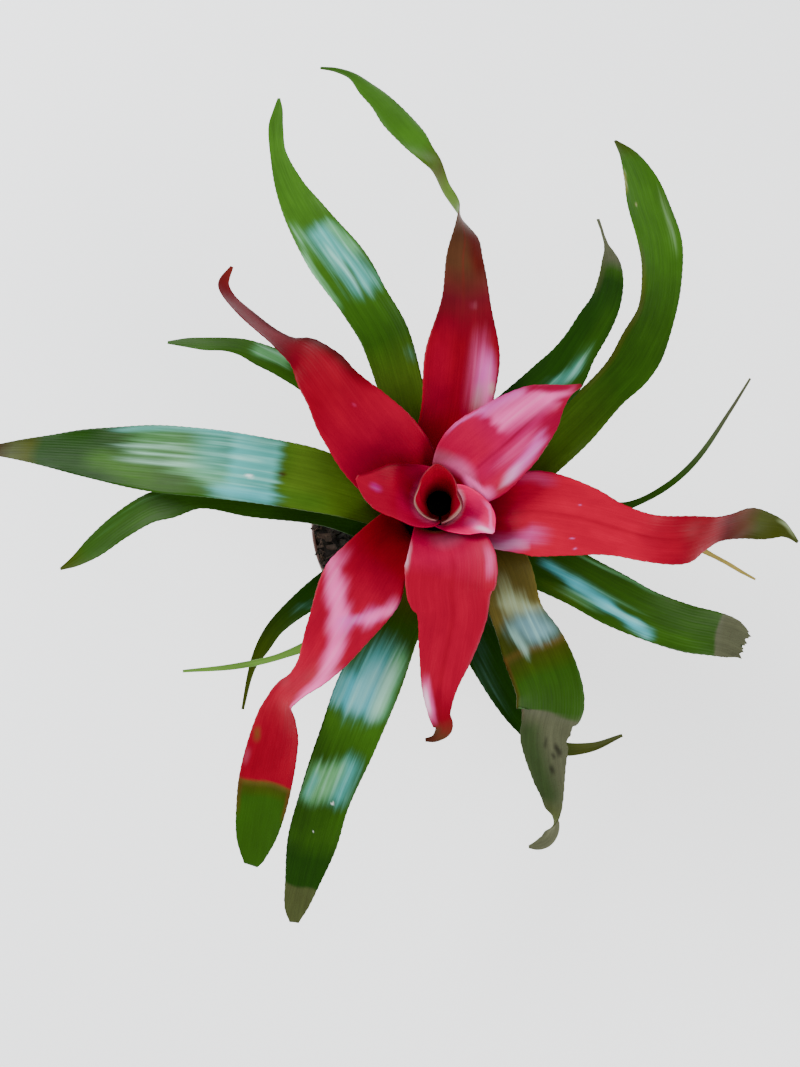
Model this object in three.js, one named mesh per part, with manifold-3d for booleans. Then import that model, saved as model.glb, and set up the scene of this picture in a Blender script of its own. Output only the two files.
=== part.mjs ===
// A blushing bromeliad in its nursery pot: a short stem set in potting mix, and a rosette of
// twenty-three strap leaves, nested round one another from the rolled cup in the middle to the
// long green leaves outside. Millimetres, +Z up, the origin under the middle of the pot.
import * as THREE from "three";
import Module from "manifold-3d";
import { mergeVertices } from "three/addons/utils/BufferGeometryUtils.js";

// Driving dimensions of the pot, its filling and the stem
const SEAT_GAP = 0.3;
const POT = {
  height: 108,
  footRadius: 49,
  shoulderRadius: 67,
  rimRadius: 72,
  rimHeight: 13,
  wall: 1.8,
  lipRadius: 1.6,
  floor: 2.4,
  drainHoles: 6,
  drainRadius: 4.5,
  drainAt: 36,
  sides: 48,
};
const MIX = { top: 99, crumb: 1.5, rings: 7, sides: 48, socketDepth: 14 };
const STEM = { rootRadius: 30, footClearance: 0.9, capHeight: 4, sides: 32 };

// The nest: three generating curves, as [distance from the plant's axis, height], which leaves
// of layer 0, 3 and 24 follow. Leaves between them take a curve in proportion.
const NEST = [
  { layer: 0, curve: [[8.2, 149], [8.4, 170], [9.2, 190], [13, 203], [25, 212], [43, 218], [63, 221],
    [86, 223], [117, 224]] },
  { layer: 3, curve: [[11.8, 143], [12.6, 166], [14.2, 184], [22, 198], [41, 208], [68, 211],
    [112, 203], [180, 175], [260, 140]] },
  { layer: 24, curve: [[34, 104], [43, 115], [53, 123], [67, 131], [90, 139], [124, 143], [168, 139],
    [216, 124], [280, 100]] },
];

// Blade build
const BLADE = {
  thickness: 0.8,
  rows: 20,
  innerColumns: 6,
  outerColumns: 4,
  lastInnerLayer: 8,
  sheathSpread: 35,
  channel: 0.1,
  leastHalfWidth: 0.6,
};
const CURVE_STEPS = 240;
const MIDRIB_STEPS = 600;

// The leaves. `foot` is the angle of the sheath on the stem, in degrees from +X towards +Y, and
// `sheath` half the angle that it wraps. Each station of `path` is the plan place of the midrib,
// x and y, the half width there and, on a twisted leaf, the roll in degrees.
const RED = new THREE.Color("#b3142c");
const GREEN = new THREE.Color("#3f6b1c");
const LEAVES = [
  { name: "cup_leaf_left", tint: RED, layer: 0, foot: 192, sheath: 92,
    path: [[-13, 0.3, 21.5], [-20, 3, 15.5], [-28, 4, 12], [-34, 6, 7.5], [-40, 9, 1.2]] },
  { name: "cup_leaf_right", tint: RED, layer: 1.5, foot: 332, sheath: 70,
    path: [[12, -5, 15], [18, -8, 12.5], [24, -12, 8], [28, -18, 0.8]] },
  { name: "red_leaf_upper_right", tint: RED, layer: 3, foot: 44, sheath: 60,
    path: [[20, 19, 22], [33, 29, 20], [41, 36, 18], [53, 46, 13], [60, 51, 7.5], [67, 55, 3],
      [74, 58, 0.8]] },
  { name: "red_leaf_bottom", tint: RED, layer: 3.2, foot: 278, sheath: 60,
    path: [[7, -32, 23], [6, -47, 21.5], [7, -59, 17.5], [4, -77, 13.5], [1, -94, 9], [1, -108, 5.5],
      [3, -115, 4.6], [-1, -120, 2], [-6, -121, 0.8]] },
  { name: "red_leaf_upper_left", tint: RED, layer: 5, foot: 140, sheath: 68,
    path: [[-22, 19, 23], [-43, 43, 19.5], [-53.6, 57.4, 15], [-60, 66.6, 13.5], [-68, 76.1, 9.7],
      [-78.5, 82.5, 7, 30], [-90, 91.5, 6, 46], [-103, 104.5, 5.4, 48], [-112, 115, 4, 46],
      [-115, 123, 2.8, 35], [-111, 133, 0.8, 20]], rows: 28 },
  { name: "red_leaf_right", tint: RED, layer: 6, foot: 350, sheath: 66,
    path: [[36, -7, 19], [50, -7, 22], [75, -11, 17.9], [92, -15.4, 13.6], [109, -19.4, 12.2],
      [125, -20, 12.5], [142, -16, 11, 35], [153, -12, 9.5, 42], [166, -9, 9, 32],
      [178, -10, 7.5, 18], [188, -11, 5], [194, -14, 2.5], [199, -18, 0.8]], rows: 28 },
  { name: "red_leaf_lower_left", tint: RED, layer: 7, foot: 228, sheath: 66,
    path: [[-28, -28, 17], [-38, -44, 21], [-51.5, -68.3, 15.4], [-62, -85, 11.5, 25],
      [-71.5, -95, 9.2, 45], [-78.2, -101, 9.8, 43], [-81, -110, 12.4, 25],
      [-83.2, -121, 13.7, 10], [-89, -145, 14.2], [-92.4, -161, 13.2], [-95.5, -176, 10.6],
      [-97.5, -187, 6.4], [-98.8, -191.5, 3.8]], rows: 28 },
  { name: "red_leaf_top", tint: RED, layer: 8, foot: 82, sheath: 66,
    path: [[10, 45, 18], [14, 77, 19.5], [16.3, 107, 13], [16.2, 133, 10], [17.2, 147, 8, 15],
      [15.8, 158, 5.6, 50], [14, 167, 4, 92], [11.6, 173, 3.6, 108], [7.3, 182, 3.3, 118],
      [2, 198.6, 4, 130], [-3.5, 207.5, 5, 148], [-11, 219.5, 7.2, 165], [-21.3, 235.2, 8.1, 175],
      [-29.3, 248.3, 6.8, 180], [-38, 259.5, 5.6, 180], [-47.5, 271.3, 2.8, 180],
      [-58, 277.3, 1.7, 180], [-67.5, 279.5, 0.8, 180]], rows: 38 },
  { name: "green_leaf_lower_right", tint: GREEN, layer: 9, foot: 306, sheath: 60,
    path: [[32, -30, 15], [41.5, -58, 13.4], [49.5, -75, 16.4], [57.5, -95, 17.2],
      [58.6, -107, 17.4], [57.2, -113, 13.6], [56.2, -121, 13], [57, -130, 11.2], [59, -142, 8.6],
      [61, -152, 6, 20], [61.8, -161, 5.2, 56], [62.4, -169, 6, 134], [60, -176, 4.8, 160],
      [55.5, -178.8, 3.6, 170], [49.5, -180, 0.8, 170]],
    rows: 42, tears: [{ at: [56.5, -124], side: 1, depth: 1.6, length: 5 }] },
  { name: "green_leaf_left", tint: GREEN, layer: 10, foot: 172, sheath: 60,
    path: [[-34, 5, 15], [-70, 13.3, 16.8], [-112, 20.5, 17.9], [-150, 26, 18.2], [-190, 32, 13.9],
      [-231, 37, 7], [-270, 40, 0.8]] },
  { name: "green_leaf_upper_right", tint: GREEN, layer: 11, foot: 48, sheath: 58,
    path: [[40, 46, 13], [65, 67, 13.2], [76.6, 83.4, 10.2], [86.5, 99, 9.6], [93.7, 112, 8.3],
      [98.5, 128, 7], [99.5, 140, 5.2], [97.8, 151, 1.3], [94.5, 168, 0.8]] },
  { name: "green_leaf_bottom", tint: GREEN, layer: 12, foot: 254, sheath: 56,
    path: [[-14, -50, 12], [-34, -93, 16], [-46, -123, 15.2], [-59, -156, 13.5], [-66, -180, 13.2],
      [-73, -206, 8.6], [-76, -218, 6], [-77, -226, 2.5]] },
  { name: "green_leaf_upper_left", tint: GREEN, layer: 13, foot: 106, sheath: 54,
    path: [[-13, 45, 13], [-26, 90, 13.2], [-38.5, 113, 13.8], [-47, 127.5, 15.2], [-57, 143.5, 15.2],
      [-73, 171, 11.8], [-83, 192, 8.4], [-91.2, 217, 4.9], [-94, 239, 4.5], [-93.5, 252, 3],
      [-93.5, 262, 0.8]] },
  { name: "green_leaf_low_right", tint: GREEN, layer: 14, foot: 332, sheath: 52,
    path: [[42, -22, 16], [74, -38.5, 14], [94.5, -49.5, 14.2], [112.5, -58, 13], [135, -65, 12.7],
      [152, -68, 11.8], [162.5, -70.5, 10.6], [170.5, -74, 7.4]], frayed: 1.8 },
  { name: "green_leaf_thin_left", tint: GREEN, layer: 15, foot: 222, sheath: 30,
    path: [[-40, -42, 8], [-58, -68, 4], [-80, -79, 1.8], [-105, -85, 1.6], [-136, -88, 0.7]] },
  { name: "green_leaf_far_right", tint: GREEN, layer: 16, foot: 26, sheath: 50,
    path: [[50, 22, 13], [75, 44, 12.4], [95.6, 64.9, 10.8], [107.5, 77.5, 12.2], [116, 91, 13],
      [126, 112, 11], [132, 137, 12.3], [133, 162, 13.9], [129, 186, 13.7], [126, 205, 10.5],
      [121, 221, 6.5], [113, 233, 0.8]], rows: 26 },
  { name: "green_leaf_low_left", tint: GREEN, layer: 17, foot: 178, sheath: 48,
    path: [[-57, 4, 13.5], [-100, 5, 9.6], [-127, 6, 5.8], [-144, 3.8, 8.4], [-157, 1, 8.3],
      [-175, -8.6, 7.5], [-190, -18.8, 6.4], [-202, -26.5, 3.4], [-212, -31, 0.7]] },
  { name: "green_leaf_under_bottom", tint: GREEN, layer: 18, foot: 289, sheath: 46,
    path: [[17, -50, 14], [32, -84, 11.5], [48, -111, 9], [64, -128, 4.5], [83.5, -129, 2.6],
      [102, -122.6, 0.8]] },
  { name: "green_leaf_tip_left", tint: GREEN, layer: 19, foot: 136, sheath: 44,
    path: [[-42, 44, 10], [-65, 68, 6.5], [-84, 81.6, 6.8], [-97, 88, 6.3], [-107, 92.6, 5],
      [-117, 94.8, 4], [-129, 95.8, 3.8], [-140, 97.5, 2.8], [-152, 98.7, 0.8]] },
  { name: "green_leaf_thin_right", tint: GREEN, layer: 20, foot: 6, sheath: 28,
    path: [[55, 2, 9], [89, 1, 6], [108, 3, 2.2], [130, 14, 1.8], [148, 30, 1.6], [170, 59, 1],
      [185, 80, 0.6]] },
  { name: "green_leaf_small_left", tint: GREEN, layer: 21, foot: 214, sheath: 42,
    path: [[-40, -28, 12], [-69, -48, 7], [-86, -63, 4.7], [-94, -75, 3.9], [-100, -87, 1.8],
      [-105, -109, 0.7]] },
  { name: "green_leaf_dry_right", tint: GREEN, layer: 22, foot: 354, sheath: 26,
    path: [[60, -6, 10], [100, -10, 8], [138, -16, 4], [153, -22, 1.5], [171, -31, 1.1],
      [183, -37, 0.6]] },
];

// The innermost leaf is rolled into the mouth of the cup. Its rows run from the stem up to its
// tip, as [distance from the axis, height, half the angle that it wraps].
const CUP = {
  foot: 93,
  rows: [[6.8, 149, 165], [6.8, 180, 168], [6.4, 196, 170], [6.9, 203, 166], [7.4, 209, 150],
    [8, 216, 112], [8.8, 222, 80], [10, 225.5, 48], [11.6, 228, 24], [13.2, 229.5, 4]],
  columns: 16,
};

/** Smoothstep from 0 to 1. */
function ease(t) {
  const c = Math.min(1, Math.max(0, t));
  return c * c * (3 - 2 * c);
}

/** Cubic curve through values at rising knots, its slopes taken from the neighbours. */
class Smooth {
  constructor(knots, values) {
    this.knots = knots;
    this.values = values;
    this.slopes = knots.map((_, i) => {
      const a = Math.max(0, i - 1);
      const b = Math.min(knots.length - 1, i + 1);
      return (values[b] - values[a]) / (knots[b] - knots[a]);
    });
  }

  at(t) {
    const last = this.knots.length - 1;
    let i = 0;
    while (i < last - 1 && t > this.knots[i + 1]) i += 1;
    const span = this.knots[i + 1] - this.knots[i];
    const s = (t - this.knots[i]) / span;
    const rise = this.slopes[i] * span;
    const fall = this.slopes[i + 1] * span;
    const step = this.values[i + 1] - this.values[i];
    return this.values[i] + s * (rise + s * (3 * step - 2 * rise - fall + s * (rise + fall - 2 * step)));
  }
}

/** The generating curve of a layer: height as a function of the distance from the axis. */
class NestCurve {
  constructor(layer) {
    const upper = NEST.findLast((guide, i) => guide.layer <= layer && i < NEST.length - 1);
    const lower = NEST[NEST.indexOf(upper) + 1];
    const share = (layer - upper.layer) / (lower.layer - upper.layer);
    const points = upper.curve.map(([r, z], i) => [
      r + (lower.curve[i][0] - r) * share,
      z + (lower.curve[i][1] - z) * share,
    ]);
    const order = points.map((_, i) => i);
    const radius = new Smooth(order, points.map((p) => p[0]));
    const height = new Smooth(order, points.map((p) => p[1]));
    this.foot = points[0];
    this.table = Array.from({ length: CURVE_STEPS + 1 }, (_, k) => {
      const s = (k / CURVE_STEPS) * (points.length - 1);
      return [radius.at(s), height.at(s)];
    });
  }

  heightAt(distance) {
    const table = this.table;
    let i = 0;
    while (i < table.length - 2 && distance > table[i + 1][0]) i += 1;
    const [r0, z0] = table[i];
    const [r1, z1] = table[i + 1];
    return z0 + ((z1 - z0) * (distance - r0)) / (r1 - r0);
  }
}

/** A closed sheet from a grid of points on its upper face, `thickness` thick. */
function sheetFromGrid(grid, thickness) {
  const rows = grid.length;
  const columns = grid[0].length;
  const upper = [];
  const lower = [];
  for (let i = 0; i < rows; i += 1) {
    for (let j = 0; j < columns; j += 1) {
      const along = new THREE.Vector3().subVectors(
        grid[Math.min(rows - 1, i + 1)][j], grid[Math.max(0, i - 1)][j]);
      const across = new THREE.Vector3().subVectors(
        grid[i][Math.min(columns - 1, j + 1)], grid[i][Math.max(0, j - 1)]);
      const normal = along.cross(across).normalize();
      upper.push(grid[i][j]);
      lower.push(grid[i][j].clone().addScaledVector(normal, -thickness));
    }
  }
  const below = rows * columns;
  const index = [];
  const quad = (a, b, c, d) => index.push(a, b, c, a, c, d);
  for (let i = 0; i < rows - 1; i += 1) {
    for (let j = 0; j < columns - 1; j += 1) {
      const a = i * columns + j;
      const b = a + columns;
      quad(a, b, b + 1, a + 1);
      index.push(below + a, below + b + 1, below + b, below + a, below + a + 1, below + b + 1);
    }
    const left = i * columns;
    const right = left + columns - 1;
    quad(left, below + left, below + left + columns, left + columns);
    quad(right, right + columns, below + right + columns, below + right);
  }
  for (let j = 0; j < columns - 1; j += 1) {
    const end = (rows - 1) * columns + j;
    quad(j, j + 1, below + j + 1, below + j);
    quad(end, below + end, below + end + 1, end + 1);
  }
  return new THREE.BufferGeometry().setFromPoints([...upper, ...lower]).setIndex(index);
}

/** A strap leaf laid on the curve of its layer, from its sheath on the stem to its tip. */
function leafGeometry(leaf) {
  const nest = new NestCurve(leaf.layer);
  const heading = THREE.MathUtils.degToRad(leaf.foot);
  const [footRadius] = nest.foot;
  const wrap = footRadius * THREE.MathUtils.degToRad(leaf.sheath);
  const stations = [
    [footRadius * Math.cos(heading), footRadius * Math.sin(heading), wrap],
    ...leaf.path,
  ];
  const knots = [0];
  stations.slice(1).forEach(([x, y], i) => {
    knots.push(knots[i] + Math.hypot(x - stations[i][0], y - stations[i][1]));
  });
  const [x, y, width, roll] = [0, 1, 2, 3].map(
    (k) => new Smooth(knots, stations.map((station) => station[k] ?? 0)));
  const midrib = (t) => {
    const place = new THREE.Vector3(x.at(t), y.at(t), 0);
    place.z = nest.heightAt(Math.hypot(place.x, place.y));
    return place;
  };

  // Rows stand at equal steps along the midrib, measured in space.
  const step = knots[knots.length - 1] / MIDRIB_STEPS;
  const lengths = [0];
  for (let k = 1; k <= MIDRIB_STEPS; k += 1) {
    lengths.push(lengths[k - 1] + midrib(step * k).distanceTo(midrib(step * (k - 1))));
  }
  const rows = leaf.rows ?? BLADE.rows;
  const columns = leaf.layer <= BLADE.lastInnerLayer ? BLADE.innerColumns : BLADE.outerColumns;
  const grid = [];
  let k = 0;
  for (let i = 0; i < rows; i += 1) {
    const goal = (lengths[MIDRIB_STEPS] * i) / (rows - 1);
    while (k < MIDRIB_STEPS - 1 && lengths[k + 1] < goal) k += 1;
    const t = step * (k + (goal - lengths[k]) / (lengths[k + 1] - lengths[k]));
    grid.push(crossRow(leaf, nest, { width, roll, midrib, step }, t, columns));
  }
  if (leaf.frayed) frayTip(grid, leaf.frayed);
  return sheetFromGrid(grid, BLADE.thickness);
}

/** One row of points across a leaf: an arc round the axis at the sheath, then a shallow channel. */
function crossRow(leaf, nest, run, t, columns) {
  const centre = run.midrib(t);
  const ahead = run.midrib(Math.min(run.step * MIDRIB_STEPS, t + run.step));
  const behind = run.midrib(Math.max(0, t - run.step));
  const forward = ahead.clone().sub(behind).normalize();
  const side = new THREE.Vector3(behind.y - ahead.y, ahead.x - behind.x, 0).normalize();
  const distance = Math.hypot(centre.x, centre.y);
  const bearing = Math.atan2(centre.y, centre.x);
  const open = ease((distance - nest.foot[0]) / BLADE.sheathSpread);
  const turn = THREE.MathUtils.degToRad(run.roll.at(t));
  const row = [];
  for (let j = 0; j <= columns; j += 1) {
    const v = (2 * j) / columns - 1;
    const half = Math.max(BLADE.leastHalfWidth, run.width.at(t) - tearDepth(leaf, centre, v));
    const offset = v * half;
    const angle = bearing + offset / distance;
    const point = new THREE.Vector3(
      THREE.MathUtils.lerp(distance * Math.cos(angle), centre.x + side.x * offset, open),
      THREE.MathUtils.lerp(distance * Math.sin(angle), centre.y + side.y * offset, open),
      0);
    const channel = BLADE.channel * open * half * v * v;
    point.z = nest.heightAt(Math.hypot(point.x, point.y)) + channel;
    point.sub(centre).applyAxisAngle(forward, turn).add(centre);
    row.push(point);
  }
  return row;
}

/** Move the points of the last row out and back by turns, as a dry tip frays. */
function frayTip(grid, depth) {
  const [before, last] = grid.slice(-2);
  last.forEach((point, j) => {
    const forward = point.clone().sub(before[j]).normalize();
    point.addScaledVector(forward, j % 2 ? depth : -depth);
  });
}

/** How much of the half width is torn away at a place on one side of a leaf. */
function tearDepth(leaf, centre, v) {
  return (leaf.tears ?? []).reduce((sum, tear) => {
    const near = 1 - Math.hypot(centre.x - tear.at[0], centre.y - tear.at[1]) / tear.length;
    return sum + (v * tear.side > 0 && near > 0 ? tear.depth * near : 0);
  }, 0);
}

/** The innermost leaf, rolled round the axis with its tip standing at the back. */
function cupGeometry() {
  const heading = THREE.MathUtils.degToRad(CUP.foot);
  const grid = CUP.rows.map(([radius, height, wrap]) =>
    Array.from({ length: CUP.columns + 1 }, (_, j) => {
      const v = (2 * j) / CUP.columns - 1;
      const angle = heading + v * THREE.MathUtils.degToRad(wrap);
      return new THREE.Vector3(radius * Math.cos(angle), radius * Math.sin(angle), height);
    }));
  return sheetFromGrid(grid, BLADE.thickness);
}

/** The short stem: a cone that carries every leaf foot, on a plug that stands in the mix. */
function stemGeometry() {
  const [cup, red, green] = NEST.map(({ curve }) => [curve[0][0] - STEM.footClearance, curve[0][1]]);
  const base = MIX.top - MIX.socketDepth;
  const [topRadius, topHeight] = CUP.rows[0];
  const profile = [
    [0, base],
    [STEM.rootRadius, base],
    [STEM.rootRadius, MIX.top + MIX.crumb + SEAT_GAP],
    green,
    red,
    cup,
    [topRadius - SEAT_GAP, topHeight],
    [topRadius / 2, topHeight + 0.75 * STEM.capHeight],
    [0, topHeight + STEM.capHeight],
  ];
  return latheGeometry(profile, STEM.sides);
}

/** The inside of the pot, from its floor to its mouth, moved in by `gap`. */
function potInside(gap) {
  const { wall, floor, height, rimHeight, footRadius, shoulderRadius, rimRadius } = POT;
  return [
    [footRadius - wall - gap, floor + gap],
    [shoulderRadius - wall - gap, height - rimHeight + 1],
    [rimRadius - wall - 1 - gap, height - rimHeight + 3],
    [rimRadius - wall - gap, height - POT.lipRadius],
  ];
}

/** A thin nursery pot: a tapered wall, a stepped collar with a round lip and a drained floor. */
function potGeometry() {
  const { height, rimHeight, footRadius, shoulderRadius, rimRadius, lipRadius } = POT;
  const profile = [
    [0, 0],
    [footRadius, 0],
    [shoulderRadius, height - rimHeight],
    [rimRadius - 1, height - rimHeight + 1],
    [rimRadius, height - lipRadius],
    [rimRadius - 0.3 * lipRadius, height - 0.3 * lipRadius],
    [rimRadius - 0.6 * POT.wall, height],
    ...potInside(0).reverse(),
    [0, POT.floor],
  ];
  let pot = solidOf(latheGeometry(profile, POT.sides));
  for (let k = 0; k < POT.drainHoles; k += 1) {
    const angle = (2 * Math.PI * (k + 0.5)) / POT.drainHoles;
    const drill = new THREE.CylinderGeometry(POT.drainRadius, POT.drainRadius, 4 * POT.floor, 16)
      .rotateX(Math.PI / 2)
      .translate(POT.drainAt * Math.cos(angle), POT.drainAt * Math.sin(angle), 0);
    pot = pot.subtract(solidOf(drill));
  }
  return geometryOf(pot);
}

/** Potting mix: it fills the pot up to the collar, with a plain hole for the stem. */
function mixGeometry() {
  const [bottom, shoulder, collar] = potInside(SEAT_GAP);
  const socket = STEM.rootRadius + SEAT_GAP;
  const edge = collar[0] + 0.2;
  const profile = [[0, bottom[1]], bottom, shoulder, collar];
  for (let k = 0; k <= MIX.rings; k += 1) {
    profile.push([edge + ((socket - edge) * k) / MIX.rings, MIX.top]);
  }
  const socketFloor = MIX.top - MIX.socketDepth - SEAT_GAP;
  profile.push([socket, socketFloor], [0, socketFloor]);
  const geometry = latheGeometry(profile, MIX.sides);
  const place = geometry.getAttribute("position");
  for (let i = 0; i < place.count; i += 1) {
    if (Math.abs(place.getZ(i) - MIX.top) < SEAT_GAP) {
      place.setZ(i, MIX.top + MIX.crumb * crumbs(place.getX(i), place.getY(i)));
    }
  }
  return geometry;
}

/** Uneven ground between -1 and 1: three crossing waves of unlike length. */
function crumbs(x, y) {
  return (Math.sin(0.37 * x + 0.21 * y) + Math.sin(0.93 * y - 0.4 * x) + Math.sin(0.61 * x + 1.3)) / 3;
}

function latheGeometry(profile, sides) {
  return new THREE.LatheGeometry(profile.map(([r, z]) => new THREE.Vector2(r, z)), sides)
    .rotateX(Math.PI / 2);
}

const wasm = await Module();
wasm.setup();

/** A closed geometry as a solid that can be cut. */
function solidOf(geometry) {
  const bare = geometry.clone();
  bare.deleteAttribute("normal");
  bare.deleteAttribute("uv");
  const merged = mergeVertices(bare, 1e-4);
  return new wasm.Manifold(new wasm.Mesh({
    numProp: 3,
    vertProperties: merged.getAttribute("position").array,
    triVerts: new Uint32Array(merged.index.array),
  }));
}

/** A cut solid as a geometry again. */
function geometryOf(solid) {
  const mesh = solid.getMesh();
  return new THREE.BufferGeometry()
    .setAttribute("position", new THREE.BufferAttribute(mesh.vertProperties, 3))
    .setIndex(new THREE.BufferAttribute(mesh.triVerts, 1));
}

/** A named sub-part in its own finish. */
function part(name, geometry, color, roughness) {
  const material = new THREE.MeshStandardMaterial({ color, roughness, metalness: 0, name });
  const mesh = new THREE.Mesh(geometry, material);
  mesh.name = name;
  return mesh;
}

const plant = new THREE.Group();
plant.add(part("stem", stemGeometry(), "#6d7a3a", 0.8));
plant.add(part("cup_leaf_inner", cupGeometry(), RED, 0.35));
LEAVES.forEach((leaf) => plant.add(part(leaf.name, leafGeometry(leaf), leaf.tint, 0.35)));

const bromeliad = new THREE.Group();
bromeliad.add(part("pot", potGeometry(), "#5a2a22", 0.45));
bromeliad.add(part("potting_mix", mixGeometry(), "#1a100c", 0.95));
bromeliad.add(plant);

export default bromeliad;
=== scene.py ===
"""A blushing bromeliad in its nursery pot, seen from almost straight above on a pale floor.

The plant is a rosette of strap leaves nested round a rolled cup: scarlet leaves in the middle,
green ones outside. Each leaf is a surface of two parameters, its length and its width, laid on
the generating curve of its layer, and is coloured by where on the leaf a point lies. Pale
reflections of the sky and lamps, and some shade, are painted into those colours. Sizes are
in millimetres, and a mesh is written in metres.
"""
from __future__ import annotations

import logging
import math
from dataclasses import dataclass, field
from enum import Enum
from typing import ClassVar

import bmesh
import bpy
import numpy as np
from mathutils import Matrix, Vector


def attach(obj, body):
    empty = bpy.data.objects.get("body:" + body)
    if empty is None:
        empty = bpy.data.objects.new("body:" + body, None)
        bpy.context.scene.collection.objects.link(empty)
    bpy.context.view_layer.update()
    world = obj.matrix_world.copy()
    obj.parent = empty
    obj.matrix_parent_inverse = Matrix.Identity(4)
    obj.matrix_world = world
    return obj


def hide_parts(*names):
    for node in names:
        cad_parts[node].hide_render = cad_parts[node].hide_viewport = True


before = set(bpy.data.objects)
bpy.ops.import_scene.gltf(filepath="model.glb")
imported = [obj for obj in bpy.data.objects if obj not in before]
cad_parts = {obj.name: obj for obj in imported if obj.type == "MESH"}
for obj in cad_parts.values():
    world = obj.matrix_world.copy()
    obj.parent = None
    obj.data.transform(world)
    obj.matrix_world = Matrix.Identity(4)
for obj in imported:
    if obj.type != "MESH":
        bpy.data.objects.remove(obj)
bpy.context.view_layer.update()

Array = np.ndarray
Socket = bpy.types.NodeSocket
Triple = tuple[float, float, float]
Rgb = Triple
Span = tuple[float, float]

LOG = logging.getLogger("bromeliad")
MM = 0.001
UV_UNIT = 100.0


class Hue(Enum):
    """The plant's colours, as sRGB hex values."""

    SCARLET = "8a001b"
    BRIGHT_RED = "b6002c"
    CHERRY = "9c0026"
    CERISE = "900228"
    ROSE_RED = "b0003a"
    CRIMSON = "7c0216"
    OXBLOOD = "510004"
    ROSEWOOD = "600d19"
    MAGENTA = "a8004b"
    HOT_PINK = "ec0060"
    # PALE_PINK, BLUSH and LAVENDER paint reflections of the sky and lamps on the red leaves.
    PALE_PINK = "fe67b4"
    BLUSH = "fee9fc"
    LAVENDER = "d65eb2"
    ORCHID = "a30271"
    DUSTY_PINK = "a84562"
    # STRAW_PINK paints the highlight along the cup's lip.
    STRAW_PINK = "b08a80"
    UNDER_RED = "611b27"
    RUSSET = "671c15"
    BROWN = "4f2e1a"
    HEART_BROWN = "311506"
    BLACK_BROWN = "040202"
    OLIVE_BROWN = "554617"
    GOLD_OLIVE = "655925"
    OLIVE = "393f08"
    MOSS = "466016"
    DARK_GREEN = "173702"
    LEAF_GREEN = "294a09"
    SPRING_GREEN = "386113"
    UNDER_GREEN = "446236"
    STRAW_GREEN = "5b8033"
    # From here down to CREAM, the pale colours paint reflections of the sky and lamps on the leaves;
    # WHITE also paints glints on water drops and one pale scratch.
    SEA_GREEN = "528e63"
    MINT = "64a56b"
    TEAL = "417d73"
    SKY = "4ea8a4"
    ICE = "53b8c5"
    SLATE = "709aa0"
    REFLECTION_WHITE = "c5fdea"
    WHITE = "fffaf6"
    CREAM = "b8c797"
    KHAKI = "424825"
    ASH = "52543e"
    STRAW = "9e8b47"

    @property
    def linear(self) -> Array:
        """The colour as linear RGB, by the sRGB curve."""
        srgb = np.array([int(self.value[k:k + 2], 16) / 255 for k in (0, 2, 4)])
        return np.where(srgb <= 0.04045, srgb / 12.92, ((srgb + 0.055) / 1.055) ** 2.4)


class Kind(Enum):
    """A leaf's place in the rosette, which also chooses its material."""

    CUP = "cup_leaf"
    RED = "red_leaf"
    GREEN = "green_leaf"


class Maths(Enum):
    """Operations of a material's maths node."""

    TIMES = "MULTIPLY"
    PLUS = "ADD"
    POWER = "POWER"
    SINE = "SINE"


def ease(share: Array) -> Array:
    """Smoothstep: 3 t^2 - 2 t^3, with t held between 0 and 1."""
    held = np.clip(share, 0.0, 1.0)
    return held * held * (3.0 - 2.0 * held)


def rising(value: Array, start: float, span: float) -> Array:
    """0 up to the start, then eased up to 1 over the span."""
    return ease((value - start) / span)


def falling(value: Array, end: float, span: float) -> Array:
    """1 until the span before the end, then eased down to 0."""
    return ease((end - value) / span)


def smooth_curve(knots: Array, values: Array, at: Array) -> Array:
    """Cubic Hermite curve through values at rising knots.

    The slope at a knot is that of the chord between its neighbours.

    Args:
        knots: Rising parameters.
        values: The value at each knot.
        at: Parameters to read the curve at.

    Returns:
        The curve's values.
    """
    order = np.arange(len(knots))
    before = np.maximum(order - 1, 0)
    after = np.minimum(order + 1, len(knots) - 1)
    slopes = (values[after] - values[before]) / (knots[after] - knots[before])
    i = np.clip(np.searchsorted(knots, at, side="right") - 1, 0, len(knots) - 2)
    span = knots[i + 1] - knots[i]
    s = (at - knots[i]) / span
    rise = slopes[i] * span
    fall = slopes[i + 1] * span
    step = values[i + 1] - values[i]
    return values[i] + s * (rise + s * (3 * step - 2 * rise - fall + s * (rise + fall - 2 * step)))


def unit(vectors: Array) -> Array:
    """Vectors of length one along the last axis."""
    return vectors / np.maximum(np.linalg.norm(vectors, axis=-1, keepdims=True), 1e-9)


def grid_normals(points: Array) -> Array:
    """Unit normals of a grid of points: the cross product of its steps along and across."""
    return unit(np.cross(np.gradient(points, axis=0), np.gradient(points, axis=1)))


def ripple(x: Array, y: Array, seed: float) -> Array:
    """Uneven ground between about -1 and 1: a sum of five crossing sine waves of rising pitch.

    Wave k has a pitch of the growth to the power k, a heading that turns by the same angle each
    time, and a height that falls as the pitch rises.

    Args:
        x: First place of each point, in radians of the longest wave.
        y: Second place.
        seed: Turns and shifts the waves.

    Returns:
        The height at each point.
    """
    waves, growth, turn, shift, decay, level = 5, 1.7, 2.4, 1.9, 0.8, 2.4
    total = np.zeros(np.broadcast(x, y).shape)
    for k in range(waves):
        pitch = growth ** k
        heading = turn * k + seed
        phase = pitch * (x * math.cos(heading) + y * math.sin(heading)) + shift * k * seed
        total += np.sin(phase) / pitch ** decay
    return total / level


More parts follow.
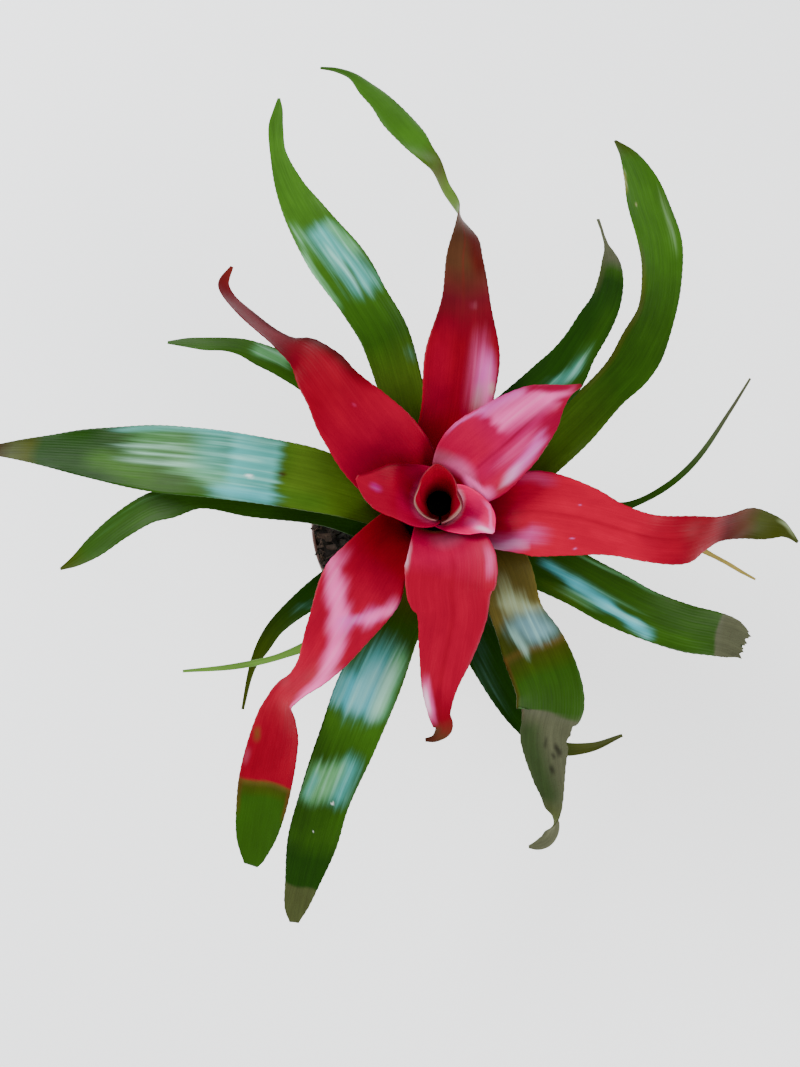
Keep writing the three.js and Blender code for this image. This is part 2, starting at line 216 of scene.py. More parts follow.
@dataclass
class Surface:
    """Points, faces and the values that a material reads, gathered for one mesh.

    Attributes:
        points: Vertex places, n by 3, in millimetres.
        faces: Vertex numbers of each face.
        smooth: Whether each face is shaded smooth.
        uv: Places on the surface, n by 2, in UV units.
        colours: Named colour values, n by 4.
        weights: Named single values, one for each vertex.
    """

    points: Array
    faces: list[list[int]]
    smooth: Array
    uv: Array | None = None
    colours: dict[str, Array] = field(default_factory=dict)
    weights: dict[str, Array] = field(default_factory=dict)

    def to_object(self, name: str) -> bpy.types.Object:
        """Write the surface as a mesh object at the origin, in metres.

        Args:
            name: Name of the piece.

        Returns:
            The new object, already in the scene.
        """
        mesh = bpy.data.meshes.new(name)
        mesh.from_pydata((self.points * MM).tolist(), [], self.faces)
        mesh.polygons.foreach_set("use_smooth", self.smooth)
        if self.uv is not None:
            corners = np.empty(len(mesh.loops), int)
            mesh.loops.foreach_get("vertex_index", corners)
            mesh.uv_layers.new(name="surface").data.foreach_set("uv", self.uv[corners].ravel())
        for key, values in self.colours.items():
            layer = mesh.color_attributes.new(key, "FLOAT_COLOR", "POINT")
            layer.data.foreach_set("color", values.ravel())
        for key, values in self.weights.items():
            mesh.attributes.new(key, "FLOAT", "POINT").data.foreach_set("value", values.ravel())
        mesh.validate()
        mesh.update()
        return linked(name, mesh)


def linked(name: str, data: bpy.types.ID) -> bpy.types.Object:
    """A new object of some data, put in the scene.

    Args:
        name: Its name.
        data: What it shows.

    Returns:
        The object.
    """
    made = bpy.data.objects.new(name, data)
    bpy.context.scene.collection.objects.link(made)
    return made


def opaque(colour: Array) -> Array:
    """Points' colours, however they are laid out, as a list with full cover added."""
    flat = colour.reshape(-1, 3)
    return np.concatenate([flat, np.ones((len(flat), 1))], -1)


def quads(corners: Array) -> Array:
    """Quads of a grid of vertex numbers, in the order own, next row, both, next column."""
    a, b, c, d = corners[:-1, :-1], corners[1:, :-1], corners[1:, 1:], corners[:-1, 1:]
    return np.stack([a, b, c, d], -1).reshape(-1, 4)


def band(first: Array, second: Array) -> Array:
    """Quads between two lines of vertex numbers of the same length."""
    return np.stack([first[1:], second[1:], second[:-1], first[:-1]], -1)


def closed_quads(rows: int, sides: int) -> Array:
    """Quads of a tube of vertex numbers, ring by ring, each ring closed on itself."""
    number = np.arange(rows * sides).reshape(rows, sides)
    return quads(np.concatenate([number, number[:, :1]], axis=1))


def sheet_faces(rows: int, columns: int) -> tuple[list[list[int]], Array]:
    """Faces of a closed sheet: an upper grid, a lower grid numbered after it, and its rim.

    Args:
        rows: Rows of points of each grid.
        columns: Columns of points.

    Returns:
        The faces, and for each whether it is shaded smooth. The rim's are flat.
    """
    upper = np.arange(rows * columns).reshape(rows, columns)
    lower = upper + rows * columns
    skins = np.concatenate([quads(upper), quads(lower)[:, ::-1]])
    rim = np.concatenate([
        band(lower[:, 0], upper[:, 0]),
        band(upper[:, -1], lower[:, -1]),
        band(upper[0], lower[0]),
        band(lower[-1], upper[-1]),
    ])
    smooth = np.concatenate([np.ones(len(skins), bool), np.zeros(len(rim), bool)])
    return np.concatenate([skins, rim]).tolist(), smooth


@dataclass
class NestCurve:
    """The generating curve of one layer of the rosette: its height over its distance.

    Three guides were drawn, each as distances from the axis and heights, and a layer between
    two of them takes a curve in proportion, so that leaves never cross.
    """

    layer: float
    steps: int = 240
    radii: Array = field(init=False)
    heights: Array = field(init=False)

    GUIDES: ClassVar[dict[float, tuple[Span, ...]]] = {
        0.0: ((8.2, 149), (8.4, 170), (9.2, 190), (13, 203), (25, 212), (43, 218), (63, 221),
              (86, 223), (117, 224)),
        3.0: ((11.8, 143), (12.6, 166), (14.2, 184), (22, 198), (41, 208), (68, 211), (112, 203),
              (180, 175), (260, 140)),
        24.0: ((34, 104), (43, 115), (53, 123), (67, 131), (90, 139), (124, 143), (168, 139),
               (216, 124), (280, 100)),
    }

    def __post_init__(self) -> None:
        """Mix the guides above and below the layer, and read the curve at even steps."""
        layers = sorted(self.GUIDES)
        upper = max(layer for layer in layers[:-1] if layer <= self.layer)
        lower = layers[layers.index(upper) + 1]
        share = (self.layer - upper) / (lower - upper)
        points = (1 - share) * np.array(self.GUIDES[upper]) + share * np.array(self.GUIDES[lower])
        knots = np.arange(len(points), dtype=float)
        at = np.linspace(0.0, knots[-1], self.steps + 1)
        self.radii = smooth_curve(knots, points[:, 0], at)
        self.heights = smooth_curve(knots, points[:, 1], at)

    def height_at(self, distance: Array) -> Array:
        """Height of the curve, in straight steps that are carried on past its ends.

        Args:
            distance: Distances from the axis.

        Returns:
            The height at each.
        """
        last = len(self.radii) - 2
        i = np.clip(np.searchsorted(self.radii, distance, side="right") - 1, 0, last)
        share = (distance - self.radii[i]) / (self.radii[i + 1] - self.radii[i])
        return self.heights[i] + share * (self.heights[i + 1] - self.heights[i])


@dataclass(frozen=True)
class Zone:
    """A stretch of one colour. Between a zone and the next the colour blends.

    Attributes:
        shade: Its colour.
        start: Where it is reached.
        end: Where it is left, or nothing if it is only touched.
    """

    shade: Hue
    start: float
    end: float | None = None

    def stops(self) -> list[tuple[float, ...]]:
        """Each end of the zone, as its place and its colour."""
        return [(end, *self.shade.linear) for end in (self.start, self.end) if end is not None]


def blended(zones: tuple[Zone, ...], at: Array) -> Array:
    """Linear RGB of a row of zones at some places, mixed in straight lines between them."""
    table = np.array([stop for zone in zones for stop in zone.stops()])
    return np.stack([np.interp(at, table[:, 0], table[:, k]) for k in (1, 2, 3)], -1)


@dataclass(frozen=True)
class Stroke:
    """A brushed mark on a leaf, from one place on it to another.

    It gives the leaf's own colour, painted shade or light, or a painted reflection.

    Attributes:
        along: Its start, as a share of the leaf's length from the stem.
        across: Its start, as a share of the half width, positive on the left going out.
        to_along: Its end.
        to_across: Its end.
        width: Its reach to each side, in millimetres.
        fade: Its reach past its ends.
        shade: Its colour. A stroke without one wipes away those before it.
        strength: Its cover at its centre.
    """

    along: float
    across: float
    to_along: float
    to_across: float
    width: float
    fade: float
    shade: Hue | None
    strength: float

    LEAST_SPAN: ClassVar[float] = 0.1
    INSET: ClassVar[float] = 0.6
    REACH: ClassVar[float] = 1.6
    ROUNDING: ClassVar[float] = 2.5
    LEVEL: ClassVar[float] = 1.1
    FALL: ClassVar[float] = 0.55

    def cover(self, run: Array, across: Array, half: Array) -> Array:
        """Cover: full on the stroke's line, about half at its reach, none at twice its reach.

        The distances across the leaf from the line and along it past the ends are divided by
        their reach and joined as a rounded box, and the fall to the edge is eased.

        Args:
            run: Length up to each point.
            across: Share across of each point.
            half: Half width at each point.

        Returns:
            The cover at each point.
        """
        start, stop = self.along * run[-1, 0], self.to_along * run[-1, 0]
        share = np.clip((run - start) / max(stop - start, self.LEAST_SPAN), 0.0, 1.0)
        centre = self.across + (self.to_across - self.across) * share
        beside = np.abs(across - centre) * half / self.width
        inset = min(self.INSET * self.fade, 0.5 * (stop - start))
        past = np.maximum(start + inset - run, run - stop + inset)
        beyond = np.maximum(past, 0.0) / (self.REACH * self.fade)
        away = (beside ** self.ROUNDING + beyond ** self.ROUNDING) ** (1 / self.ROUNDING)
        return self.strength * ease(self.LEVEL - self.FALL * away)


@dataclass(frozen=True)
class Tear:
    """A bite out of one margin, at a plan place x, y: its side, depth and half length in mm."""

    x: float
    y: float
    side: int
    depth: float
    length: float


@dataclass(frozen=True)
class Blade:
    """What all the strap leaves share, in millimetres.

    A span gives where something starts and the stretch over which it becomes full. A pitch
    gives radians of the longest ripple for each millimetre, along and across.

    Attributes:
        sheath_spread: How far from its foot a leaf opens from an arc round the axis to a blade.
        tooth_lag: Share of a pitch by which one margin's teeth lie after the other's.
        wave_lag: Radians by which one margin's waves lead.
        bow: How far a colour's boundary bows, as a share of the length.
        comb: How far the ends of a painted reflection are combed out and back.
        cup_comb: How many times as far on the small leaves of the cup.
        drying: Share of the length over which a dry part begins to crumple.
        bleaching: Share of the length over which it loses its wax.
    """

    thickness: float = 0.8
    edge_thickness: float = 0.35
    sheath_spread: float = 35.0
    channel: float = 0.1
    least_half_width: float = 0.6
    measured_steps: int = 800
    row_step: float = 1.15
    column_step: float = 1.3
    side_columns: tuple[int, int] = (5, 18)
    full_width: float = 12.0
    ribs: float = 4.5
    rib_height: float = 0.025
    tooth_pitch: float = 4.6
    tooth_depth: float = 0.3
    tooth_lag: float = 0.37
    toothed_width: Span = (3.0, 4.0)
    toothed_run: Span = (45.0, 30.0)
    wave_length: float = 46.0
    wave_height: float = 0.7
    wave_lag: float = 1.1
    drying: float = 0.05
    crumple: float = 0.55
    crumple_pitch: Span = (0.28, 0.5)
    fray_pitch: float = 1.9
    fray_gain: float = 1.5
    fray_seed: float = 0.7
    bow: float = 0.004
    bow_turn: float = 3.0
    bow_from: float = 0.05
    comb: float = 0.8
    cup_comb: float = 0.2
    comb_pitch: Span = (0.02, 1.1)
    bleaching: float = 0.02


@dataclass(frozen=True)
class Leaf:
    """One strap leaf: its form as in the solid model, and where its colours lie.

    Attributes:
        name: The solid leaf that it dresses.
        kind: Its place in the rosette.
        layer: Its layer in the nest.
        foot: Angle of its sheath on the stem, in degrees.
        sheath: Half the angle that the sheath wraps.
        path: Places of the midrib with the half width and, on a twisted leaf, the roll.
        zones: Colours along the upper face, by shares of the length.
        under: Colours along the lower face.
        marks: Marks on the upper face, not broken up. A few paint shade or light, as noted where they
            stand.
        sheens_and_specks: Painted reflections of the sky and lamps, which break up into streaks, with a
            few small specks of the leaf's own colour among them.
        tears: Bites out of its margins.
        comb: How many times further than usual the ends of its painted reflections are combed.
        frayed: How far the points of its tip go out and back.
        dry_from: Share of the length beyond which it is dry.
    """

    name: str
    kind: Kind
    layer: float
    foot: float
    sheath: float
    path: tuple[tuple[float, ...], ...]
    zones: tuple[Zone, ...]
    under: tuple[Zone, ...] = (Zone(Hue.UNDER_GREEN, 0, 1),)
    marks: tuple[Stroke, ...] = ()
    sheens_and_specks: tuple[Stroke, ...] = ()
    tears: tuple[Tear, ...] = ()
    comb: float = 1.0
    frayed: float = 0.0
    dry_from: float = 2.0


# In each leaf the last list of strokes paints reflections of the sky and lamps, with a few small specks
# of the leaf's own colour among them. Painted shade and light in zones and marks are noted where they
# stand.
LEAVES: tuple[Leaf, ...] = (
    Leaf(
        "cup_leaf_left", Kind.CUP, layer=0, foot=192, sheath=92,
        path=((-13, 0.3, 21.5), (-20, 3, 15.5), (-28, 4, 12), (-34, 6, 7.5), (-40, 9, 1.2)),
        # The zones up to the lip are painted lighter where the cup shades this leaf.
        zones=(Zone(Hue.DUSTY_PINK, 0, 0.5), Zone(Hue.ROSE_RED, 0.56, 0.7),
               Zone(Hue.CHERRY, 0.76, 1)),
        under=(Zone(Hue.CRIMSON, 0, 1),),
        # The BRIGHT_RED mark is painted light on a patch in the lip's shadow.
        marks=(Stroke(0.6, -0.1, 0.76, -0.4, 5, 3, Hue.BRIGHT_RED, 0.8),
               Stroke(0.56, 0.6, 0.7, 0.7, 4, 2, Hue.CHERRY, 0.7),
               Stroke(0.74, -1, 0.99, -0.9, 0.9, 4, Hue.OXBLOOD, 0.6)),
        sheens_and_specks=(Stroke(0.55, 0.05, 0.59, 0.05, 14, 2.6, Hue.PALE_PINK, 0.5),
                Stroke(0.875, 0.06, 0.88, 0.03, 1.6, 1.6, Hue.ORCHID, 0.85)),
    ),
    Leaf(
        "cup_leaf_right", Kind.CUP, layer=1.5, foot=332, sheath=70,
        path=((12, -5, 15), (18, -8, 12.5), (24, -12, 8), (28, -18, 0.8)),
        # The zones are painted lighter where the cup's lip shades this leaf.
        zones=(Zone(Hue.DUSTY_PINK, 0, 0.52), Zone(Hue.HOT_PINK, 0.57, 1)),
        under=(Zone(Hue.CRIMSON, 0, 1),),
        sheens_and_specks=(Stroke(0.53, 0.1, 0.63, 0.1, 8, 2.4, Hue.BLUSH, 0.8),
                Stroke(0.82, -0.3, 0.95, -0.62, 2.4, 3.4, Hue.PALE_PINK, 0.75),
                Stroke(0.88, 0.8, 0.96, 0.1, 1.1, 2.4, Hue.PALE_PINK, 0.8),
                Stroke(0.9, -0.5, 0.96, -0.5, 1, 2, Hue.BLUSH, 0.5)),
    ),
    Leaf(
        "red_leaf_upper_right", Kind.RED, layer=3, foot=44, sheath=60, comb=2.4,
        path=((20, 19, 22), (33, 29, 20), (41, 36, 18), (53, 46, 13), (60, 51, 7.5), (67, 55, 3),
              (74, 58, 0.8)),
        # The DUSTY_PINK zone at the foot is part of a painted highlight beside the cup.
        zones=(Zone(Hue.CRIMSON, 0, 0.39), Zone(Hue.DUSTY_PINK, 0.405, 0.43),
               Zone(Hue.ROSE_RED, 0.46, 0.54), Zone(Hue.MAGENTA, 0.68, 0.95),
               Zone(Hue.BROWN, 0.98), Zone(Hue.HEART_BROWN, 1)),
        under=(Zone(Hue.UNDER_RED, 0, 1),),
        # The first mark, along the midline, is painted shade in a crease; the two PALE_PINK marks paint
        # the highlight beside the cup.
        marks=(Stroke(0.5, -0.12, 0.92, -0.12, 0.6, 10, Hue.CRIMSON, 0.6),
               Stroke(0.5, -0.9, 0.9, -0.9, 2.5, 10, Hue.CERISE, 0.8),
               Stroke(0.8, 1, 0.95, 0.7, 2, 4, Hue.CERISE, 0.8),
               Stroke(0.77, -0.6, 0.9, -0.5, 3, 6, Hue.CERISE, 0.7),
               Stroke(0.5, -0.3, 0.57, -0.3, 4, 5, Hue.MAGENTA, 0.6),
               Stroke(0.41, 0.3, 0.436, 0.1, 6, 2.6, Hue.PALE_PINK, 0.35),
               Stroke(0.416, -0.25, 0.451, -0.81, 3, 2.6, Hue.PALE_PINK, 0.9)),
        sheens_and_specks=(Stroke(0.53, 0.96, 0.62, 0.92, 0.8, 3, Hue.LAVENDER, 0.8),
                Stroke(0.635, 0.85, 0.77, 0.85, 2.4, 3, Hue.LAVENDER, 0.75),
                Stroke(0.65, 0.42, 0.85, 0.28, 5.4, 2.4, Hue.PALE_PINK, 0.8),
                Stroke(0.85, 0.2, 0.93, -0.08, 2, 3, Hue.PALE_PINK, 0.7),
                Stroke(0.6, -0.4, 0.68, -0.42, 2.6, 6, Hue.PALE_PINK, 0.3),
                Stroke(0.57, -0.78, 0.71, -0.74, 2.6, 4, Hue.LAVENDER, 0.85),
                Stroke(0.54, -0.78, 0.57, -0.78, 2, 3, Hue.BLUSH, 0.2),
                Stroke(0.55, -1, 0.8, -1, 0.8, 5, None, 0.9),
                Stroke(0.84, 0.85, 0.93, 0.6, 2, 3, None, 0.95)),
    ),
    Leaf(
        "red_leaf_bottom", Kind.RED, layer=3.2, foot=278, sheath=60,
        path=((7, -32, 23), (6, -47, 21.5), (7, -59, 17.5), (4, -77, 13.5), (1, -94, 9), (1, -108, 5.5),
              (3, -115, 4.6), (-1, -120, 2), (-6, -121, 0.8)),
        # Near the foot, the zones and the DUSTY_PINK mark are painted lighter to make up for the shade
        # that the cup casts here.
        zones=(Zone(Hue.BROWN, 0, 0.24), Zone(Hue.CERISE, 0.29), Zone(Hue.ROSE_RED, 0.33, 0.4),
               Zone(Hue.CHERRY, 0.48, 0.8), Zone(Hue.CRIMSON, 0.9), Zone(Hue.BROWN, 0.95),
               Zone(Hue.HEART_BROWN, 1)),
        under=(Zone(Hue.UNDER_RED, 0, 0.9), Zone(Hue.HEART_BROWN, 1)),
        marks=(Stroke(0.45, 0.05, 0.85, 0, 1, 14, Hue.CRIMSON, 0.35),
               Stroke(0.32, 0.1, 0.335, 0.12, 7, 3, Hue.DUSTY_PINK, 0.7)),
        sheens_and_specks=(Stroke(0.39, -1, 0.425, -0.97, 1.3, 4, Hue.BLUSH, 0.4),
                Stroke(0.428, 0.86, 0.436, 0.84, 2, 2.4, Hue.PALE_PINK, 0.5),
                Stroke(0.81, -0.74, 0.86, -0.72, 2, 4, Hue.PALE_PINK, 0.75),
                Stroke(0.83, -0.85, 0.845, -0.85, 1.1, 3, Hue.BLUSH, 0.6),
                Stroke(0.5, 1, 0.66, 1, 0.7, 10, Hue.DUSTY_PINK, 0.4)),
    ),
    Leaf(
        "red_leaf_upper_left", Kind.RED, layer=5, foot=140, sheath=68,
        path=((-22, 19, 23), (-43, 43, 19.5), (-53.6, 57.4, 15), (-60, 66.6, 13.5), (-68, 76.1, 9.7),
              (-78.5, 82.5, 7, 30), (-90, 91.5, 6, 46), (-103, 104.5, 5.4, 48), (-112, 115, 4, 46),
              (-115, 123, 2.8, 35), (-111, 133, 0.8, 20)),
        zones=(Zone(Hue.CRIMSON, 0), Zone(Hue.CHERRY, 0.22, 0.36), Zone(Hue.SCARLET, 0.5, 0.54),
               Zone(Hue.CRIMSON, 0.6), Zone(Hue.ROSEWOOD, 0.68, 0.9), Zone(Hue.RUSSET, 1)),
        under=(Zone(Hue.UNDER_RED, 0, 0.5), Zone(Hue.ROSEWOOD, 0.6, 0.9), Zone(Hue.RUSSET, 1)),
        # Both marks are painted shade along the upper margin.
        marks=(Stroke(0.5, -1, 0.64, -0.95, 3.4, 7, Hue.OXBLOOD, 0.85),
               Stroke(0.56, -1, 0.8, -1, 1.8, 6, Hue.BLACK_BROWN, 0.45)),
        sheens_and_specks=(Stroke(0.441, -0.22, 0.444, -0.22, 0.7, 0.7, Hue.MAGENTA, 0.8),),
    ),
    Leaf(
        "red_leaf_right", Kind.RED, layer=6, foot=350, sheath=66,
        path=((36, -7, 19), (50, -7, 22), (75, -11, 17.9), (92, -15.4, 13.6), (109, -19.4, 12.2),
              (125, -20, 12.5), (142, -16, 11, 35), (153, -12, 9.5, 42), (166, -9, 9, 32),
              (178, -10, 7.5, 18), (188, -11, 5), (194, -14, 2.5), (199, -18, 0.8)),
        zones=(Zone(Hue.CRIMSON, 0), Zone(Hue.CHERRY, 0.2), Zone(Hue.BRIGHT_RED, 0.3, 0.55),
               Zone(Hue.SCARLET, 0.68), Zone(Hue.CRIMSON, 0.75), Zone(Hue.OXBLOOD, 0.79),
               Zone(Hue.BROWN, 0.84), Zone(Hue.OLIVE, 0.88, 1)),
        under=(Zone(Hue.UNDER_RED, 0, 0.75), Zone(Hue.OLIVE, 0.85), Zone(Hue.DARK_GREEN, 1)),
        marks=(Stroke(0.3, 0.05, 0.7, 0.05, 0.9, 14, Hue.CRIMSON, 0.35),),
        sheens_and_specks=(Stroke(0.318, 0.88, 0.34, 0.81, 2.6, 4, Hue.LAVENDER, 0.3),
                Stroke(0.262, -0.97, 0.285, -0.75, 2, 4, Hue.BLUSH, 0.45),
                Stroke(0.27, -0.85, 0.325, -0.5, 4.4, 6, Hue.LAVENDER, 0.55),
                Stroke(0.416, -0.53, 0.418, -0.53, 0.5, 0.6, Hue.LAVENDER, 0.8),
                Stroke(0.426, -0.81, 0.428, -0.81, 0.5, 0.5, Hue.LAVENDER, 0.8),
                Stroke(0.422, 0.41, 0.423, 0.41, 0.3, 0.4, Hue.LAVENDER, 0.7),
                Stroke(0.95, 0.8, 0.97, 0.8, 1.4, 3, Hue.CREAM, 0.4)),
    ),
    Leaf(
        "red_leaf_lower_left", Kind.RED, layer=7, foot=228, sheath=66,
        path=((-28, -28, 17), (-38, -44, 21), (-51.5, -68.3, 15.4), (-62, -85, 11.5, 25),
              (-71.5, -95, 9.2, 45), (-78.2, -101, 9.8, 43), (-81, -110, 12.4, 25),
              (-83.2, -121, 13.7, 10), (-89, -145, 14.2), (-92.4, -161, 13.2), (-95.5, -176, 10.6),
              (-97.5, -187, 6.4), (-98.8, -191.5, 3.8)),
        zones=(Zone(Hue.CRIMSON, 0, 0.18), Zone(Hue.SCARLET, 0.26), Zone(Hue.CHERRY, 0.34, 0.56),
               Zone(Hue.SCARLET, 0.64, 0.797), Zone(Hue.OLIVE_BROWN, 0.803),
               Zone(Hue.OLIVE, 0.815), Zone(Hue.LEAF_GREEN, 0.84, 1)),
        under=(Zone(Hue.UNDER_RED, 0, 0.797), Zone(Hue.UNDER_GREEN, 0.803, 1)),
        marks=(Stroke(0.697, -0.75, 0.704, -0.7, 1.6, 2, Hue.OLIVE_BROWN, 0.6),
               Stroke(0.82, 0.95, 0.86, 0.98, 1, 3, Hue.RUSSET, 0.5),
               Stroke(0.815, -0.95, 0.86, -0.97, 1.4, 4, Hue.RUSSET, 0.35)),
        sheens_and_specks=(Stroke(0.316, -0.9, 0.361, -0.53, 4, 5, Hue.PALE_PINK, 0.7),
                Stroke(0.361, -0.53, 0.41, -0.1, 4.4, 5, Hue.PALE_PINK, 0.85),
                Stroke(0.41, -0.1, 0.471, 0.3, 3.6, 6, Hue.PALE_PINK, 0.75),
                Stroke(0.471, 0.34, 0.54, 0.78, 2.8, 6, Hue.PALE_PINK, 0.7),
                Stroke(0.375, 0.6, 0.405, 0.1, 3.6, 4, Hue.LAVENDER, 0.75),
                Stroke(0.34, 0.9, 0.375, 0.62, 3, 4, Hue.PALE_PINK, 0.75),
                Stroke(0.51, 0.95, 0.59, 1, 1.6, 4, Hue.PALE_PINK, 0.5),
                Stroke(0.748, -0.88, 0.754, -0.88, 1.4, 2.4, Hue.DUSTY_PINK, 0.45)),
    ),
    Leaf(
        "red_leaf_top", Kind.RED, layer=8, foot=82, sheath=66,
        path=((10, 45, 18), (14, 77, 19.5), (16.3, 107, 13), (16.2, 133, 10), (17.2, 147, 8, 15),
              (15.8, 158, 5.6, 50), (14, 167, 4, 92), (11.6, 173, 3.6, 108), (7.3, 182, 3.3, 118),
              (2, 198.6, 4, 130), (-3.5, 207.5, 5, 148), (-11, 219.5, 7.2, 165),
              (-21.3, 235.2, 8.1, 175), (-29.3, 248.3, 6.8, 180), (-38, 259.5, 5.6, 180),
              (-47.5, 271.3, 2.8, 180), (-58, 277.3, 1.7, 180), (-67.5, 279.5, 0.8, 180)),
        zones=(Zone(Hue.CRIMSON, 0), Zone(Hue.SCARLET, 0.17, 0.25), Zone(Hue.CRIMSON, 0.31),
               Zone(Hue.ROSEWOOD, 0.38), Zone(Hue.BROWN, 0.445, 1)),
        under=(Zone(Hue.UNDER_RED, 0), Zone(Hue.BROWN, 0.5), Zone(Hue.MOSS, 0.555, 0.6),
               Zone(Hue.OLIVE, 0.65), Zone(Hue.SPRING_GREEN, 0.72, 0.86),
               Zone(Hue.LEAF_GREEN, 1)),
        marks=(Stroke(0.22, 0.6, 0.29, 0.6, 5, 10, Hue.CHERRY, 0.6),
               Stroke(0.44, -0.8, 0.5, -0.66, 4, 5, Hue.OXBLOOD, 0.8),
               Stroke(0.4, 0.1, 0.6, 0, 0.5, 8, Hue.RUSSET, 0.5)),
        sheens_and_specks=(Stroke(0.25, -0.42, 0.28, -0.42, 4, 9, Hue.PALE_PINK, 0.3),
                Stroke(0.245, -0.66, 0.272, -0.66, 3.4, 6, Hue.LAVENDER, 0.85),
                Stroke(0.222, -0.6, 0.238, -0.62, 3, 3, Hue.STRAW_PINK, 0.5),
                Stroke(0.28, -0.6, 0.31, -0.6, 3, 6, Hue.PALE_PINK, 0.12),
                Stroke(0.225, -0.85, 0.25, -0.8, 2.4, 5, Hue.PALE_PINK, 0.5),
                Stroke(0.24, -0.9, 0.243, -0.88, 1.2, 1.6, Hue.CREAM, 0.4),
                Stroke(0.37, -0.3, 0.371, -0.3, 1.8, 1.2, Hue.DUSTY_PINK, 0.2)),
    ),
    Leaf(
        "green_leaf_lower_right", Kind.GREEN, layer=9, foot=306, sheath=60, dry_from=0.64,
        path=((32, -30, 15), (41.5, -58, 13.4), (49.5, -75, 16.4), (57.5, -95, 17.2),
              (58.6, -107, 17.4), (57.2, -113, 13.6), (56.2, -121, 13), (57, -130, 11.2),
              (59, -142, 8.6), (61, -152, 6, 20), (61.8, -161, 5.2, 56), (62.4, -169, 6, 134),
              (60, -176, 4.8, 160), (55.5, -178.8, 3.6, 170), (49.5, -180, 0.8, 170)),
        tears=(Tear(56.5, -124, 1, 1.6, 5),),
        zones=(Zone(Hue.OLIVE_BROWN, 0, 0.24), Zone(Hue.GOLD_OLIVE, 0.3, 0.4),
               Zone(Hue.OLIVE, 0.43, 0.47), Zone(Hue.OLIVE_BROWN, 0.484), Zone(Hue.OLIVE, 0.5),
               Zone(Hue.LEAF_GREEN, 0.55, 0.632), Zone(Hue.ASH, 0.638, 0.84),
               Zone(Hue.KHAKI, 0.88, 1)),
        under=(Zone(Hue.UNDER_GREEN, 0, 0.65), Zone(Hue.ASH, 0.68, 1)),
        marks=(Stroke(0.68, -0.7, 0.84, -0.5, 6, 3.4, Hue.DARK_GREEN, 0.7),
               Stroke(0.72, 0.5, 0.735, 0.62, 1.2, 1.6, Hue.BLACK_BROWN, 0.7),
               Stroke(0.738, 0.3, 0.742, 0.36, 0.8, 1, Hue.BLACK_BROWN, 0.6),
               Stroke(0.77, 0.2, 0.778, 0.25, 1.1, 1.4, Hue.BLACK_BROWN, 0.65),
               Stroke(0.7, 0.05, 0.71, 0, 0.8, 1.6, Hue.BLACK_BROWN, 0.5),
               Stroke(0.5, -0.97, 0.63, -1, 0.8, 4, Hue.RUSSET, 0.4)),
        sheens_and_specks=(Stroke(0.33, -0.16, 0.38, -0.22, 3.6, 5, Hue.CREAM, 0.5),
                Stroke(0.37, 0, 0.4, 0.4, 6, 4, Hue.CREAM, 0.85),
                Stroke(0.42, 0.15, 0.462, 0.4, 9, 3.4, Hue.SLATE, 1),
                Stroke(0.44, -0.4, 0.478, -0.25, 2, 3, Hue.REFLECTION_WHITE, 0.4)),
    ),
    Leaf(
        "green_leaf_left", Kind.GREEN, layer=10, foot=172, sheath=60, comb=2.8,
        path=((-34, 5, 15), (-70, 13.3, 16.8), (-112, 20.5, 17.9), (-150, 26, 18.2), (-190, 32, 13.9),
              (-231, 37, 7), (-270, 40, 0.8)),
        zones=(Zone(Hue.MOSS, 0, 0.3), Zone(Hue.LEAF_GREEN, 0.36, 0.58),
               Zone(Hue.DARK_GREEN, 0.68, 0.83), Zone(Hue.OLIVE, 0.86), Zone(Hue.KHAKI, 0.9),
               Zone(Hue.HEART_BROWN, 0.95, 1)),
        marks=(Stroke(0.323, 0, 0.326, 0, 0.9, 1.1, Hue.HEART_BROWN, 0.85),
               Stroke(0.26, 0.7, 0.33, 0.7, 4, 6, Hue.SPRING_GREEN, 0.5),
               Stroke(0.6, 0.4, 0.68, 0.25, 5, 8, Hue.SPRING_GREEN, 0.7)),
        sheens_and_specks=(Stroke(0.49, -0.4, 0.6, -0.5, 11, 9, Hue.MINT, 0.5),
                Stroke(0.42, 0.45, 0.5, 0.4, 8, 8, Hue.MINT, 0.7),
                Stroke(0.343, -0.1, 0.41, -0.1, 17, 2.8, Hue.SKY, 0.85),
                Stroke(0.41, -0.4, 0.46, -0.45, 12, 7, Hue.SKY, 0.6),
                Stroke(0.34, 0.8, 0.43, 0.75, 3.4, 5, Hue.ICE, 0.6),
                Stroke(0.42, -0.97, 0.64, -0.9, 1.6, 7, Hue.SKY, 0.6),
                Stroke(0.541, -0.38, 0.64, -0.34, 1, 9, Hue.REFLECTION_WHITE, 0.35),
                Stroke(0.514, 0.09, 0.62, 0.12, 1.2, 9, Hue.REFLECTION_WHITE, 0.35),
                Stroke(0.52, -0.12, 0.6, -0.14, 0.7, 8, Hue.REFLECTION_WHITE, 0.3),
                Stroke(0.48, 0.85, 0.634, 0.85, 4, 6.3, None, 0.95),
                Stroke(0.51, 0.58, 0.59, 0.66, 3, 6, None, 0.8),
                Stroke(0.383, 0.22, 0.385, 0.22, 0.6, 1, Hue.WHITE, 0.95)),
    ),
    Leaf(
        "green_leaf_upper_right", Kind.GREEN, layer=11, foot=48, sheath=58, dry_from=0.86,
        path=((40, 46, 13), (65, 67, 13.2), (76.6, 83.4, 10.2), (86.5, 99, 9.6), (93.7, 112, 8.3),
              (98.5, 128, 7), (99.5, 140, 5.2), (97.8, 151, 1.3), (94.5, 168, 0.8)),
        zones=(Zone(Hue.OLIVE, 0), Zone(Hue.DARK_GREEN, 0.3, 0.8), Zone(Hue.LEAF_GREEN, 0.835),
               Zone(Hue.ASH, 0.87, 1)),
        marks=(Stroke(0.78, 0.95, 0.85, 0.9, 1.8, 5, Hue.KHAKI, 0.7),
